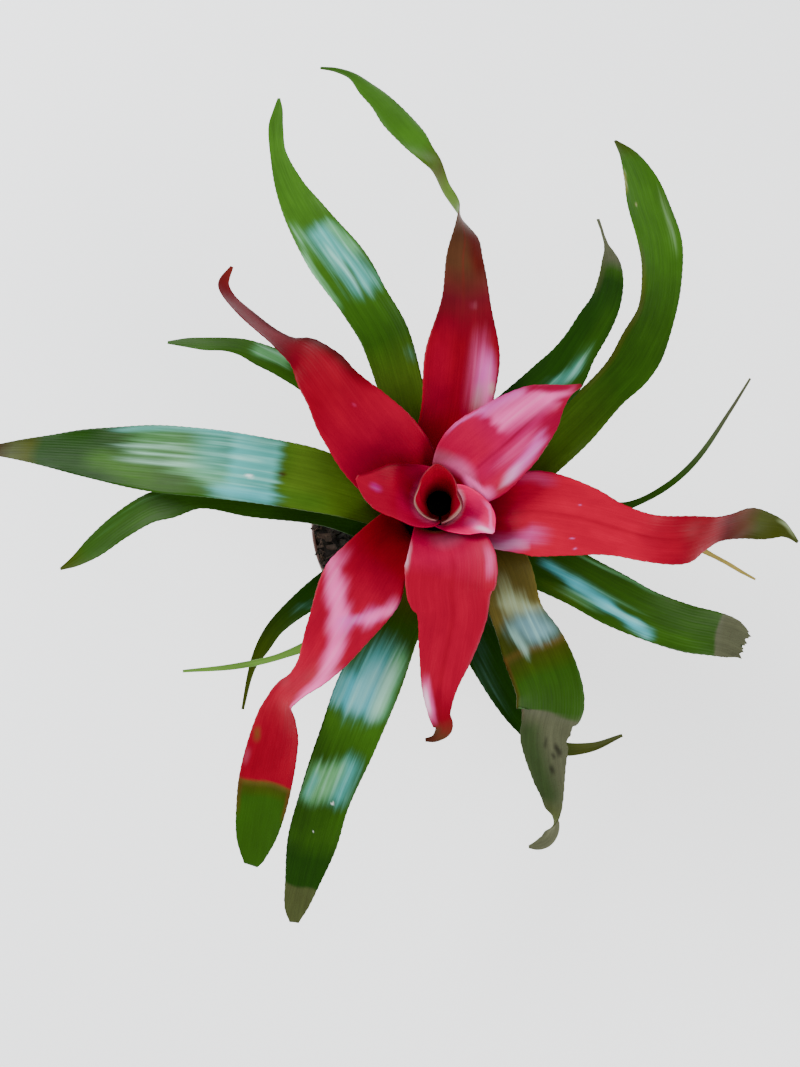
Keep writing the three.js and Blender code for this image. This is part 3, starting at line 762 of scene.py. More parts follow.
               Stroke(0.5, -0.5, 0.68, -0.5, 4, 10, Hue.LEAF_GREEN, 0.6)),
        sheens_and_specks=(Stroke(0.46, 0, 0.55, -0.45, 3, 7, Hue.SEA_GREEN, 0.4),
                Stroke(0.475, -0.1, 0.525, -0.4, 2.6, 5, Hue.SKY, 0.45)),
    ),
    Leaf(
        "green_leaf_bottom", Kind.GREEN, layer=12, foot=254, sheath=56, comb=2.0, dry_from=0.912,
        path=((-14, -50, 12), (-34, -93, 16), (-46, -123, 15.2), (-59, -156, 13.5), (-66, -180, 13.2),
              (-73, -206, 8.6), (-76, -218, 6), (-77, -226, 2.5)),
        zones=(Zone(Hue.MOSS, 0), Zone(Hue.OLIVE, 0.24), Zone(Hue.LEAF_GREEN, 0.3),
               Zone(Hue.SPRING_GREEN, 0.52), Zone(Hue.LEAF_GREEN, 0.6, 0.79),
               Zone(Hue.DARK_GREEN, 0.84, 0.905), Zone(Hue.KHAKI, 0.912, 1)),
        sheens_and_specks=(Stroke(0.36, 0.1, 0.4, 0, 6, 7, Hue.MINT, 0.5),
                Stroke(0.395, 0, 0.44, -0.1, 8, 10, Hue.ICE, 0.85),
                Stroke(0.438, -0.25, 0.476, -0.3, 12, 3.4, Hue.ICE, 0.95),
                Stroke(0.41, 0, 0.46, -0.1, 3.4, 6, Hue.REFLECTION_WHITE, 0.3),
                Stroke(0.36, 0.6, 0.465, 0.65, 3.6, 5, Hue.MINT, 1),
                Stroke(0.41, -0.85, 0.478, -0.8, 2.6, 3.4, Hue.TEAL, 0.4),
                Stroke(0.4, 0.5, 0.46, 0.5, 2.6, 6, Hue.REFLECTION_WHITE, 0.5),
                Stroke(0.6, 0.47, 0.672, 0.45, 4.4, 5, Hue.SKY, 0.8),
                Stroke(0.634, -0.53, 0.694, -0.62, 4.4, 4, Hue.MINT, 0.9),
                Stroke(0.62, 0, 0.67, -0.1, 4, 5, Hue.MINT, 0.9),
                Stroke(0.655, -0.6, 0.69, -0.7, 2, 3, Hue.SKY, 0.6),
                # The three white dots are painted glints on small water drops.
                Stroke(0.694, 0.38, 0.694, 0.38, 0.5, 0.5, Hue.WHITE, 1),
                Stroke(0.698, 0.3, 0.699, 0.3, 0.3, 0.3, Hue.WHITE, 0.9),
                Stroke(0.767, -0.06, 0.767, -0.06, 0.35, 0.35, Hue.WHITE, 1)),
    ),
    Leaf(
        "green_leaf_upper_left", Kind.GREEN, layer=13, foot=106, sheath=54,
        path=((-13, 45, 13), (-26, 90, 13.2), (-38.5, 113, 13.8), (-47, 127.5, 15.2),
              (-57, 143.5, 15.2), (-73, 171, 11.8), (-83, 192, 8.4), (-91.2, 217, 4.9), (-94, 239, 4.5),
              (-93.5, 252, 3), (-93.5, 262, 0.8)),
        zones=(Zone(Hue.OLIVE, 0), Zone(Hue.MOSS, 0.26), Zone(Hue.LEAF_GREEN, 0.34),
               Zone(Hue.SPRING_GREEN, 0.55, 1)),
        sheens_and_specks=(Stroke(0.45, -0.3, 0.6, -0.1, 7.5, 5, Hue.SKY, 0.85),
                Stroke(0.53, -0.75, 0.6, -0.66, 2.4, 5, Hue.MINT, 0.7),
                Stroke(0.57, 0.7, 0.63, 0.7, 2.6, 5, Hue.MINT, 0.6),
                Stroke(0.454, 1, 0.551, 0.97, 2.4, 5, Hue.MINT, 0.8),
                Stroke(0.47, -0.1, 0.54, 0, 1, 6, Hue.REFLECTION_WHITE, 0.4),
                Stroke(0.366, 0.3, 0.474, 0.36, 0.8, 5, None, 0.8),
                Stroke(0.419, -0.16, 0.491, -0.19, 0.8, 5, None, 0.7),
                Stroke(0.296, -0.85, 0.3, -0.82, 2.7, 2.4, Hue.TEAL, 0.4),
                Stroke(0.5, 0.6, 0.57, 0.7, 1.4, 5, None, 0.6)),
    ),
    Leaf(
        "green_leaf_low_right", Kind.GREEN, layer=14, foot=332, sheath=52, frayed=1.8, dry_from=0.902,
        path=((42, -22, 16), (74, -38.5, 14), (94.5, -49.5, 14.2), (112.5, -58, 13), (135, -65, 12.7),
              (152, -68, 11.8), (162.5, -70.5, 10.6), (170.5, -74, 7.4)),
        zones=(Zone(Hue.OLIVE, 0), Zone(Hue.LEAF_GREEN, 0.3, 0.895), Zone(Hue.ASH, 0.902, 1)),
        marks=(Stroke(0.4, -0.7, 0.47, -0.75, 2.4, 5, Hue.MOSS, 0.6),
               Stroke(0.7, -0.6, 0.8, -0.6, 4, 8, Hue.SPRING_GREEN, 0.4)),
        sheens_and_specks=(Stroke(0.375, 0.02, 0.46, -0.16, 2.2, 4, Hue.ICE, 0.85),
                Stroke(0.46, -0.16, 0.56, -0.32, 3.2, 3.4, Hue.ICE, 0.85),
                Stroke(0.56, -0.32, 0.65, -0.52, 2.2, 3.4, Hue.ICE, 0.85),
                Stroke(0.65, -0.52, 0.69, -0.7, 2.8, 3, Hue.ICE, 0.8),
                Stroke(0.46, -0.6, 0.51, -0.62, 2, 5, Hue.MINT, 0.5),
                Stroke(0.4, 0.2, 0.6, 0.02, 1.2, 8, Hue.SEA_GREEN, 0.4),
                Stroke(0.471, 0.85, 0.6, 0.95, 0.9, 10, Hue.MINT, 0.6)),
    ),
    Leaf(
        "green_leaf_thin_left", Kind.GREEN, layer=15, foot=222, sheath=30,
        path=((-40, -42, 8), (-58, -68, 4), (-80, -79, 1.8), (-105, -85, 1.6), (-136, -88, 0.7)),
        zones=(Zone(Hue.LEAF_GREEN, 0), Zone(Hue.STRAW_GREEN, 0.4, 1)),
    ),
    Leaf(
        "green_leaf_far_right", Kind.GREEN, layer=16, foot=26, sheath=50,
        path=((50, 22, 13), (75, 44, 12.4), (95.6, 64.9, 10.8), (107.5, 77.5, 12.2), (116, 91, 13),
              (126, 112, 11), (132, 137, 12.3), (133, 162, 13.9), (129, 186, 13.7), (126, 205, 10.5),
              (121, 221, 6.5), (113, 233, 0.8)),
        zones=(Zone(Hue.OLIVE_BROWN, 0), Zone(Hue.OLIVE, 0.18), Zone(Hue.MOSS, 0.24),
               Zone(Hue.LEAF_GREEN, 0.4, 0.55), Zone(Hue.SPRING_GREEN, 0.75, 0.94),
               Zone(Hue.OLIVE, 1)),
        marks=(Stroke(0.4, 0.97, 0.66, 0.97, 1.8, 14, Hue.OLIVE_BROWN, 0.45),),
        sheens_and_specks=(Stroke(0.76, -0.66, 0.822, -0.78, 2.6, 9, Hue.CREAM, 0.2),
                Stroke(0.83, 0.59, 0.833, 0.57, 0.8, 0.8, Hue.STRAW, 0.8),
                Stroke(0.865, 0.97, 0.91, 0.95, 1, 3, Hue.STRAW, 0.7)),
    ),
    Leaf(
        "green_leaf_low_left", Kind.GREEN, layer=17, foot=178, sheath=48,
        path=((-57, 4, 13.5), (-100, 5, 9.6), (-127, 6, 5.8), (-144, 3.8, 8.4), (-157, 1, 8.3),
              (-175, -8.6, 7.5), (-190, -18.8, 6.4), (-202, -26.5, 3.4), (-212, -31, 0.7)),
        zones=(Zone(Hue.DARK_GREEN, 0), Zone(Hue.LEAF_GREEN, 0.4, 0.9), Zone(Hue.OLIVE, 1)),
        sheens_and_specks=(Stroke(0.69, -0.6, 0.8, -0.7, 2, 8, Hue.MINT, 0.12),),
    ),
    Leaf(
        "green_leaf_under_bottom", Kind.GREEN, layer=18, foot=289, sheath=46,
        path=((17, -50, 14), (32, -84, 11.5), (48, -111, 9), (64, -128, 4.5), (83.5, -129, 2.6),
              (102, -122.6, 0.8)),
        zones=(Zone(Hue.DARK_GREEN, 0, 0.72), Zone(Hue.OLIVE, 0.85, 1)),
        sheens_and_specks=(Stroke(0.41, -0.28, 0.48, -0.6, 4.2, 12, Hue.SLATE, 0.18),),
    ),
    Leaf(
        "green_leaf_tip_left", Kind.GREEN, layer=19, foot=136, sheath=44,
        path=((-42, 44, 10), (-65, 68, 6.5), (-84, 81.6, 6.8), (-97, 88, 6.3), (-107, 92.6, 5),
              (-117, 94.8, 4), (-129, 95.8, 3.8), (-140, 97.5, 2.8), (-152, 98.7, 0.8)),
        zones=(Zone(Hue.DARK_GREEN, 0), Zone(Hue.LEAF_GREEN, 0.5, 1)),
        sheens_and_specks=(Stroke(0.6, -0.41, 0.69, -0.22, 3, 3.4, Hue.MINT, 0.75),),
    ),
    Leaf(
        "green_leaf_thin_right", Kind.GREEN, layer=20, foot=6, sheath=28,
        path=((55, 2, 9), (89, 1, 6), (108, 3, 2.2), (130, 14, 1.8), (148, 30, 1.6), (170, 59, 1),
              (185, 80, 0.6)),
        zones=(Zone(Hue.DARK_GREEN, 0), Zone(Hue.LEAF_GREEN, 0.6), Zone(Hue.ASH, 0.9, 1)),
    ),
    Leaf(
        "green_leaf_small_left", Kind.GREEN, layer=21, foot=214, sheath=42,
        path=((-40, -28, 12), (-69, -48, 7), (-86, -63, 4.7), (-94, -75, 3.9), (-100, -87, 1.8),
              (-105, -109, 0.7)),
        zones=(Zone(Hue.DARK_GREEN, 0, 0.5), Zone(Hue.OLIVE, 1)),
        sheens_and_specks=(Stroke(0.506, 0.45, 0.531, 0.1, 2, 4, Hue.TEAL, 0.3),),
    ),
    Leaf(
        "green_leaf_dry_right", Kind.GREEN, layer=22, foot=354, sheath=26, dry_from=0.5,
        path=((60, -6, 10), (100, -10, 8), (138, -16, 4), (153, -22, 1.5), (171, -31, 1.1),
              (183, -37, 0.6)),
        zones=(Zone(Hue.OLIVE, 0), Zone(Hue.STRAW, 0.5, 1)),
    ),
)


@dataclass
class LeafSurface:
    """Builds the fine surface of one strap leaf.

    The midrib runs smoothly through the plan stations, on the nest's curve. A row across it is
    at the sheath an arc round the plant's axis, and further out a line square to the midrib,
    which rises as the square of the distance from it. It is then turned by the roll.
    """

    leaf: Leaf
    blade: Blade
    nest: NestCurve = field(init=False)
    stations: Array = field(init=False)
    knots: Array = field(init=False)

    def __post_init__(self) -> None:
        """Put the foot before the plan stations, and measure the path from it."""
        leaf = self.leaf
        self.nest = NestCurve(leaf.layer)
        heading = math.radians(leaf.foot)
        radius = self.nest.radii[0]
        wrap = radius * math.radians(leaf.sheath)
        foot = (radius * math.cos(heading), radius * math.sin(heading), wrap, 0.0)
        self.stations = np.array([foot, *((*place, 0.0)[:4] for place in leaf.path)])
        steps = np.hypot(*np.diff(self.stations[:, :2], axis=0).T)
        self.knots = np.concatenate([[0.0], np.cumsum(steps)])

    def station_curve(self, column: int, at: Array) -> Array:
        """One column of the stations, read on its smooth curve."""
        return smooth_curve(self.knots, self.stations[:, column], at)

    def midrib(self, at: Array) -> Array:
        """Places on the midrib: its plan curve, lifted to the nest's height.

        Args:
            at: Plan distances along the path.

        Returns:
            A place for each distance.
        """
        x, y = self.station_curve(0, at), self.station_curve(1, at)
        return np.stack([x, y, self.nest.height_at(np.hypot(x, y))], -1)

    def even_rows(self) -> tuple[Array, Array]:
        """Rows at even steps of length along the midrib.

        Returns:
            The path distance of each row, and the length up to it.
        """
        fine = np.linspace(0.0, self.knots[-1], self.blade.measured_steps)
        spans = np.linalg.norm(np.diff(self.midrib(fine), axis=0), axis=1)
        lengths = np.concatenate([[0.0], np.cumsum(spans)])
        run = np.linspace(0.0, lengths[-1], round(lengths[-1] / self.blade.row_step) + 1)
        return np.interp(run, lengths, fine), run

    def half_widths(self, at: Array, run: Array, centre: Array, across: Array) -> Array:
        """Half width of each row, on each side.

        It is the stations' smooth half width, less a notch at each tear, plus teeth on the
        outermost columns that rise along the leaf as a square and drop back at each pitch.

        Args:
            at: Path distance of each row.
            run: Length up to each row.
            centre: The midrib's place in each row.
            across: Share across of each column.

        Returns:
            The half width, rows by columns.
        """
        blade = self.blade
        half = self.station_curve(2, at)[:, None] * np.ones_like(across)
        for tear in self.leaf.tears:
            away = np.hypot(centre[:, 0] - tear.x, centre[:, 1] - tear.y)[:, None]
            near = np.maximum(1 - away / tear.length, 0)
            half -= np.where(across * tear.side > 0, tear.depth * near, 0)
        tooth = (run[:, None] / blade.tooth_pitch + blade.tooth_lag * np.sign(across)) % 1.0
        grown = rising(half, *blade.toothed_width) * rising(run[:, None], *blade.toothed_run)
        half += blade.tooth_depth * tooth ** 2 * grown * (np.abs(across) == 1.0)
        return np.maximum(blade.least_half_width, half)

    def upper_grid(self) -> tuple[Array, Array, Array, Array]:
        """Points of the upper face.

        Returns:
            The points, the length up to each row, the share across of each column, and the
            distance of each point from the midrib along its row.
        """
        blade = self.blade
        at, run = self.even_rows()
        centre = self.midrib(at)
        step = self.knots[-1] / len(at)
        ahead = self.midrib(np.minimum(self.knots[-1], at + step))
        behind = self.midrib(np.maximum(0.0, at - step))
        forward = unit(ahead - behind)
        side = unit(np.stack([behind[:, 1] - ahead[:, 1], ahead[:, 0] - behind[:, 0]], -1))
        widest = self.stations[:, 2].max()
        columns = 2 * int(np.clip(round(widest / blade.column_step), *blade.side_columns)) + 1
        across = np.linspace(-1.0, 1.0, columns)[None, :]
        half = self.half_widths(at, run, centre, across)
        offset = across * half

        distance = np.hypot(centre[:, 0], centre[:, 1])[:, None]
        angle = np.arctan2(centre[:, 1], centre[:, 0])[:, None] + offset / distance
        opened = rising(distance, self.nest.radii[0], blade.sheath_spread)
        wrapped = (1 - opened) * distance
        x = wrapped * np.cos(angle) + opened * (centre[:, :1] + side[:, :1] * offset)
        y = wrapped * np.sin(angle) + opened * (centre[:, 1:2] + side[:, 1:] * offset)
        z = self.nest.height_at(np.hypot(x, y)) + blade.channel * opened * half * across ** 2
        z += opened * self.relief(run[:, None], across, half)
        points = self.turned(np.stack([x, y, z], -1), centre, forward, at)
        if self.leaf.frayed:
            rough = ripple(offset[-1] * blade.fray_pitch, np.zeros(1), blade.fray_seed)
            teeth = self.leaf.frayed * rough * blade.fray_gain
            points[-1] += forward[-1] * teeth[:, None]
        return points, run, across, offset

    def relief(self, run: Array, across: Array, half: Array) -> Array:
        """Height of the broad ribs, of the margin's slow waves and of the dry part's crumple.

        Ribs are a cosine across the leaf, waves a sine along it times the fourth power of the
        share across, and the crumple is a ripple beyond the dry line.

        Args:
            run: Length up to each row.
            across: Share across of each column.
            half: Half width at each point.

        Returns:
            The height to add at each point.
        """
        blade = self.blade
        wide = ease(half / blade.full_width)
        ribs = blade.rib_height * wide * np.cos(2 * np.pi * blade.ribs * across)
        phase = 2 * np.pi * run / blade.wave_length + self.leaf.layer + blade.wave_lag * np.sign(across)
        waves = blade.wave_height * wide * np.sin(phase) * across ** 4
        dry = rising(run / run[-1], self.leaf.dry_from, blade.drying)
        along, aside = blade.crumple_pitch
        rough = ripple(run * along, across * half * aside, self.leaf.layer)
        return ribs + waves + blade.crumple * dry * rough

    def turned(self, points: Array, centre: Array, forward: Array, at: Array) -> Array:
        """Points of each row turned about the midrib by the roll, by Rodrigues' formula.

        Args:
            points: Rows by columns of points.
            centre: The midrib's place in each row.
            forward: The midrib's direction there.
            at: Path distance of each row.

        Returns:
            The turned points.
        """
        roll = np.radians(self.station_curve(3, at))[:, None, None]
        arm = points - centre[:, None, :]
        axis = np.broadcast_to(forward[:, None, :], arm.shape)
        along = np.sum(arm * axis, axis=-1, keepdims=True)
        arm = arm * np.cos(roll) + np.cross(axis, arm) * np.sin(roll)
        return centre[:, None, :] + arm + axis * along * (1 - np.cos(roll))

    def base_colour(self, zones: tuple[Zone, ...], along: Array, across: Array) -> Array:
        """The zones' colours, each boundary bowed by a sine across the leaf.

        Args:
            zones: Colours by shares of the length.
            along: Share of the length at each point.
            across: Share across of each point.

        Returns:
            The colour of each point.
        """
        blade = self.blade
        bow = blade.bow * np.sin(blade.bow_turn * across + self.leaf.layer)
        return blended(zones, along + bow * (along > blade.bow_from))

    def painted(self, run: Array, across: Array, half: Array) -> tuple[Array, Array]:
        """The upper face's colours.

        Marks are laid over the base colour. Painted reflections, with the few specks among them, are
        gathered apart, because the material breaks them up. Their ends are combed: each column reads
        them further on or back.

        Args:
            run: Length up to each point.
            across: Share across of each point.
            half: Half width at each point.

        Returns:
            The colour of each point, and the colour and cover of its painted reflection.
        """
        leaf, blade = self.leaf, self.blade
        colour = self.base_colour(leaf.zones, run / run[-1], across)
        for mark in leaf.marks:
            cover = mark.cover(run, across, half)[..., None]
            colour = colour * (1 - cover) + mark.shade.linear * cover
        comb = blade.comb * leaf.comb * (blade.cup_comb if leaf.kind is Kind.CUP else 1.0)
        along, aside = blade.comb_pitch
        combed = run + comb * ripple(across * half * aside, run * along, leaf.layer)
        # Each stroke gathered here paints a reflection of the sky and lamps, except a few small specks
        # of the leaf's own colour.
        paint = np.zeros((*across.shape, 3))
        bare = np.ones((*across.shape, 1))
        for sheen in leaf.sheens_and_specks:
            cover = sheen.cover(combed, across, half)[..., None]
            if sheen.shade:
                paint = paint * (1 - cover) + sheen.shade.linear * cover
                bare = bare * (1 - cover)
            else:
                paint = paint * (1 - cover)
                bare = bare + (1 - bare) * cover
        return colour, np.concatenate([paint / np.maximum(1 - bare, 1e-3), 1 - bare], -1)

    def build(self) -> Surface:
        """The closed leaf: its upper face, a lower face one thickness below it, and a rim.

        Returns:
            The surface, with its colours, its sheens and how dry it is.
        """
        blade = self.blade
        upper, run, across, offset = self.upper_grid()
        rows, columns = upper.shape[:2]
        thin = blade.thickness - (blade.thickness - blade.edge_thickness) * across ** 4
        lower = upper - grid_normals(upper) * thin[..., None]
        length = np.broadcast_to(run[:, None], (rows, columns))
        wide = np.broadcast_to(across, (rows, columns))
        along = length / run[-1]
        half = np.maximum(np.abs(offset[:, :1]), blade.least_half_width) * np.ones_like(wide)
        faces, smooth = sheet_faces(rows, columns)
        tops, sheens_and_specks = self.painted(length, wide, half)
        bottoms = self.base_colour(self.leaf.under, along, wide)
        dry = rising(along, self.leaf.dry_from, blade.bleaching)
        place = np.stack([offset, length], -1) / UV_UNIT
        return Surface(
            points=np.concatenate([upper.reshape(-1, 3), lower.reshape(-1, 3)]),
            faces=faces,
            smooth=smooth,
            uv=np.tile(place.reshape(-1, 2), (2, 1)),
            colours={
                "tint": np.concatenate([opaque(tops), opaque(bottoms)]),
                "sheen": np.concatenate([sheens_and_specks.reshape(-1, 4), np.zeros((rows * columns, 4))]),
            },
            weights={"dry": np.tile(dry.ravel(), 2)},
        )


@dataclass
class CupLeaf:
    """The innermost leaf, rolled round the axis, with its tip standing at the back of the cup.

    Its rows are arcs round the axis, whose radius, height and half angle run smoothly through
    the stations. Near its mouth the two margins turn out into a lip, the right one by
    flare_right more, and a highlight is painted pale along the lip. Deep in the cup the inside is
    painted black as shade. The throat leans to the right of the axis. A span gives where something
    starts, or for an end where it is over, and the stretch that it takes. Ends come in pairs,
    for the left and the right margin.
    """

    foot: float = 93.0
    stations: tuple[Triple, ...] = (
        (6.7, 149, 165), (6.6, 180, 172), (6.7, 192, 176), (7.3, 201, 173), (8, 208, 154),
        (8.6, 213, 126), (9, 218, 92), (9.8, 222.5, 60), (11.2, 226.5, 30), (13.2, 229.5, 4),
    )
    rows: int = 140
    columns: int = 96
    thickness: float = 0.8
    flare: float = 3.1
    flare_right: float = 1.5
    lip_across: Span = (0.62, 0.38)
    lip_rise: Span = (186.0, 12.0)
    lip_ends: tuple[Span, Span] = ((222.0, 7.0), (219.0, 6.0))
    lean: float = 2.0
    lean_rise: Span = (158.0, 22.0)
    lean_end: Span = (207.0, 20.0)
    # The black at the bottom of these zones is painted shade deep in the cup.
    inside: tuple[Zone, ...] = (
        Zone(Hue.BLACK_BROWN, 187), Zone(Hue.CHERRY, 188, 210), Zone(Hue.SCARLET, 229),
    )
    # A highlight is painted in this colour along the lip, as the fields below lay it.
    pale: Hue = Hue.STRAW_PINK
    highlight_cover: float = 0.8
    highlight_across: Span = (0.86, 0.08)
    highlight_rise: Span = (192.0, 5.0)
    highlight_ends: tuple[Span, Span] = ((224.0, 5.0), (219.0, 5.0))
    throat: Hue = Hue.DUSTY_PINK
    back: Hue = Hue.UNDER_RED
    back_rise: Span = (196.0, 18.0)

    @staticmethod
    def along_margins(rise: Array, across: Array, inward: Span, start: Span,
                      ends: tuple[Span, Span]) -> Array:
        """Share of something that lies along both margins: the product of three eased steps.

        Args:
            rise: Height of each point.
            across: Share across of each column.
            inward: Span across over which it grows.
            start: Span of height over which it begins.
            ends: Spans of height by which it is over, on the left and the right.

        Returns:
            The share at each point.
        """
        share = rising(np.abs(across), *inward) * rising(rise, *start)
        left, right = (falling(rise, *end) for end in ends)
        return share * np.where(across > 0, left, right)

    def build(self) -> Surface:
        """The closed leaf, painted black as shade down in the cup, red above, with a painted highlight
        along its lip.

        Returns:
            The surface, with its colours.
        """
        table = np.array(self.stations, float)
        knots = table[:, 1]
        heights = np.linspace(knots[0], knots[-1], self.rows)
        radius = smooth_curve(knots, table[:, 0], heights)[:, None]
        wrap = np.radians(smooth_curve(knots, table[:, 2], heights))[:, None]
        across = np.linspace(-1.0, 1.0, self.columns)[None, :]
        angle = math.radians(self.foot) + across * wrap
        rise = np.broadcast_to(heights[:, None], angle.shape)
        lip = self.along_margins(rise, across, self.lip_across, self.lip_rise, self.lip_ends)
        reach = radius + (self.flare + self.flare_right * (across < 0)) * lip
        shift = self.lean * rising(rise, *self.lean_rise) * falling(rise, *self.lean_end)
        inner = np.stack([shift + reach * np.cos(angle), reach * np.sin(angle), rise], -1)
        outer = inner - grid_normals(inner) * self.thickness
        faces, smooth = sheet_faces(self.rows, self.columns)
        place = np.stack([radius * wrap * across, rise], -1).reshape(-1, 2) / UV_UNIT
        tint = np.concatenate([self.inner_colour(rise, across), self.outer_colour(rise)])
        return Surface(
            points=np.concatenate([inner.reshape(-1, 3), outer.reshape(-1, 3)]),
            faces=faces,
            smooth=smooth,
            uv=np.tile(place, (2, 1)),
            colours={"tint": tint, "sheen": np.zeros((len(tint), 4))},
            weights={"dry": np.zeros(len(tint))},
        )

    def inner_colour(self, rise: Array, across: Array) -> Array:
        """Colours of the inner face: its zones by height, black as painted shade low down, with the
        painted highlight along the lip laid over them.

        Args:
            rise: Height of each point.
            across: Share across of each column.

        Returns:
            The colour of each point, one after another.
        """
        lip = self.along_margins(rise, across, self.highlight_across, self.highlight_rise, self.highlight_ends)
        lip = lip[..., None]
        red = blended(self.inside, rise) * (1 - self.highlight_cover * lip)
        return opaque(red + self.highlight_cover * self.pale.linear * lip)

    def outer_colour(self, rise: Array) -> Array:
        """Colours of the outer face: the throat's below and the back's above, one after another."""
        share = rising(rise, *self.back_rise)[..., None]
        return opaque(self.throat.linear * (1 - share) + self.back.linear * share)


class Graph:
    """Builds a material's nodes: each call makes a node and wires what it is given.

    MIDDLE and WIDE are the values of a noise between which its spots come up.
    """

    MIDDLE: ClassVar[Span] = (0.3, 0.7)
    WIDE: ClassVar[Span] = (0.2, 0.8)

    def __init__(self, name: str) -> None:
        """Start a material with only its output.

        Args:
            name: Name of the material.
        """
        self.material = bpy.data.materials.new(name)
        self.material.use_nodes = True
        self.tree = self.material.node_tree
        self.tree.nodes.clear()
        self.end = self.tree.nodes.new("ShaderNodeOutputMaterial")

    def set_input(self, made: bpy.types.Node, key: int | str, value: object) -> None:
        """Wire a socket to an input, or set the input's own value.

        Args:
            made: The node.
            key: Name or place of its input.
            value: The socket or value.
        """
        if isinstance(value, Socket):
            self.tree.links.new(value, made.inputs[key])
        else:
            made.inputs[key].default_value = value

    def node(self, kind: str, inputs: dict[int | str, object] | None = None,
             **settings: str) -> bpy.types.Node:
        """Add a node.

        Args:
            kind: Node type without its `ShaderNode` prefix.
            inputs: A number, colour or socket for each input, by its name or place.
            **settings: Properties of the node.

        Returns:
            The new node.
        """
        made = self.tree.nodes.new("ShaderNode" + kind)
        for key, value in settings.items():
            setattr(made, key, value)
        for key, value in (inputs or {}).items():
            self.set_input(made, key, value)
        return made

    def place(self, output: str) -> Socket:
        """The place of a point on the object or on the surface's own map."""
        return self.node("TexCoord").outputs[output]

    def attribute(self, name: str) -> bpy.types.Node:
        """Values that the surface carries."""
        return self.node("Attribute", attribute_name=name)

    def noise(self, vector: Socket, scale: float, detail: float = 3.0, rough: float = 0.55) -> Socket:
        """Noise between 0 and 1 at a place."""
        inputs = {"Vector": vector, "Scale": scale, "Detail": detail, "Roughness": rough}
        return self.node("TexNoise", inputs).outputs["Fac"]

    def drawn_noise(self, vector: Socket, scale: tuple[float, ...], detail: float = 3.0,
                    rough: float = 0.55) -> Socket:
        """Noise whose scale differs by axis, so that its spots are drawn out."""
        stretched = self.node("Mapping", {"Vector": vector, "Scale": scale}).outputs[0]
        return self.noise(stretched, 1.0, detail, rough)

    def ramp(self, value: Socket, low: float, high: float, start: float = 0.0,
             stop: float = 1.0) -> Socket:
        """A value between low and high, eased to run between start and stop."""
        inputs = {0: value, 1: low, 2: high, 3: start, 4: stop}
        return self.node("MapRange", inputs, interpolation_type="SMOOTHSTEP").outputs[0]

    def about(self, value: Socket, start: float, stop: float) -> Socket:
        """A noise's middle values, eased to run between start and stop."""
        return self.ramp(value, *self.MIDDLE, start, stop)

    def maths(self, operation: Maths, first: Socket | float, second: Socket | float = 0.0) -> Socket:
        """The result of one operation on two numbers or sockets."""
        return self.node("Math", {0: first, 1: second}, operation=operation.value).outputs[0]

    def times(self, first: Socket | float, second: Socket | float) -> Socket:
        """The product of two numbers or sockets."""
        return self.maths(Maths.TIMES, first, second)

    def mix(self, share: Socket, first: Socket | Rgb, second: Socket | Rgb | Array) -> Socket:
        """Two colours mixed by a share.

        Args:
            share: Share of the second.
            first: A colour as a socket or as linear RGB.
            second: The other.

        Returns:
            The mixed colour.
        """
        made = self.node("Mix", {"Factor": share}, data_type="RGBA")
        for place, value in ((6, first), (7, second)):
            self.set_input(made, place, value if isinstance(value, Socket) else (*value, 1.0))
        return made.outputs[2]

    def scaled(self, colour: Socket, by: Socket) -> Socket:
        """A colour made darker or lighter."""
        return self.node("VectorMath", {0: colour, "Scale": by}, operation="SCALE").outputs[0]

    def bump(self, height: Socket, strength: float, depth: float) -> Socket:
        """A surface's normal roughened by a height, with its depth in millimetres."""
        inputs = {"Height": height, "Strength": strength, "Distance": depth * MM}
        return self.node("Bump", inputs).outputs[0]

    def close(self, inputs: dict[str, object]) -> bpy.types.Material:
        """End in a principled shader.

        Args:
            inputs: What each of its inputs is given.

        Returns:
            The finished material.
        """
        shader = self.node("BsdfPrincipled", inputs)
        self.tree.links.new(shader.outputs[0], self.end.inputs["Surface"])
        return self.material


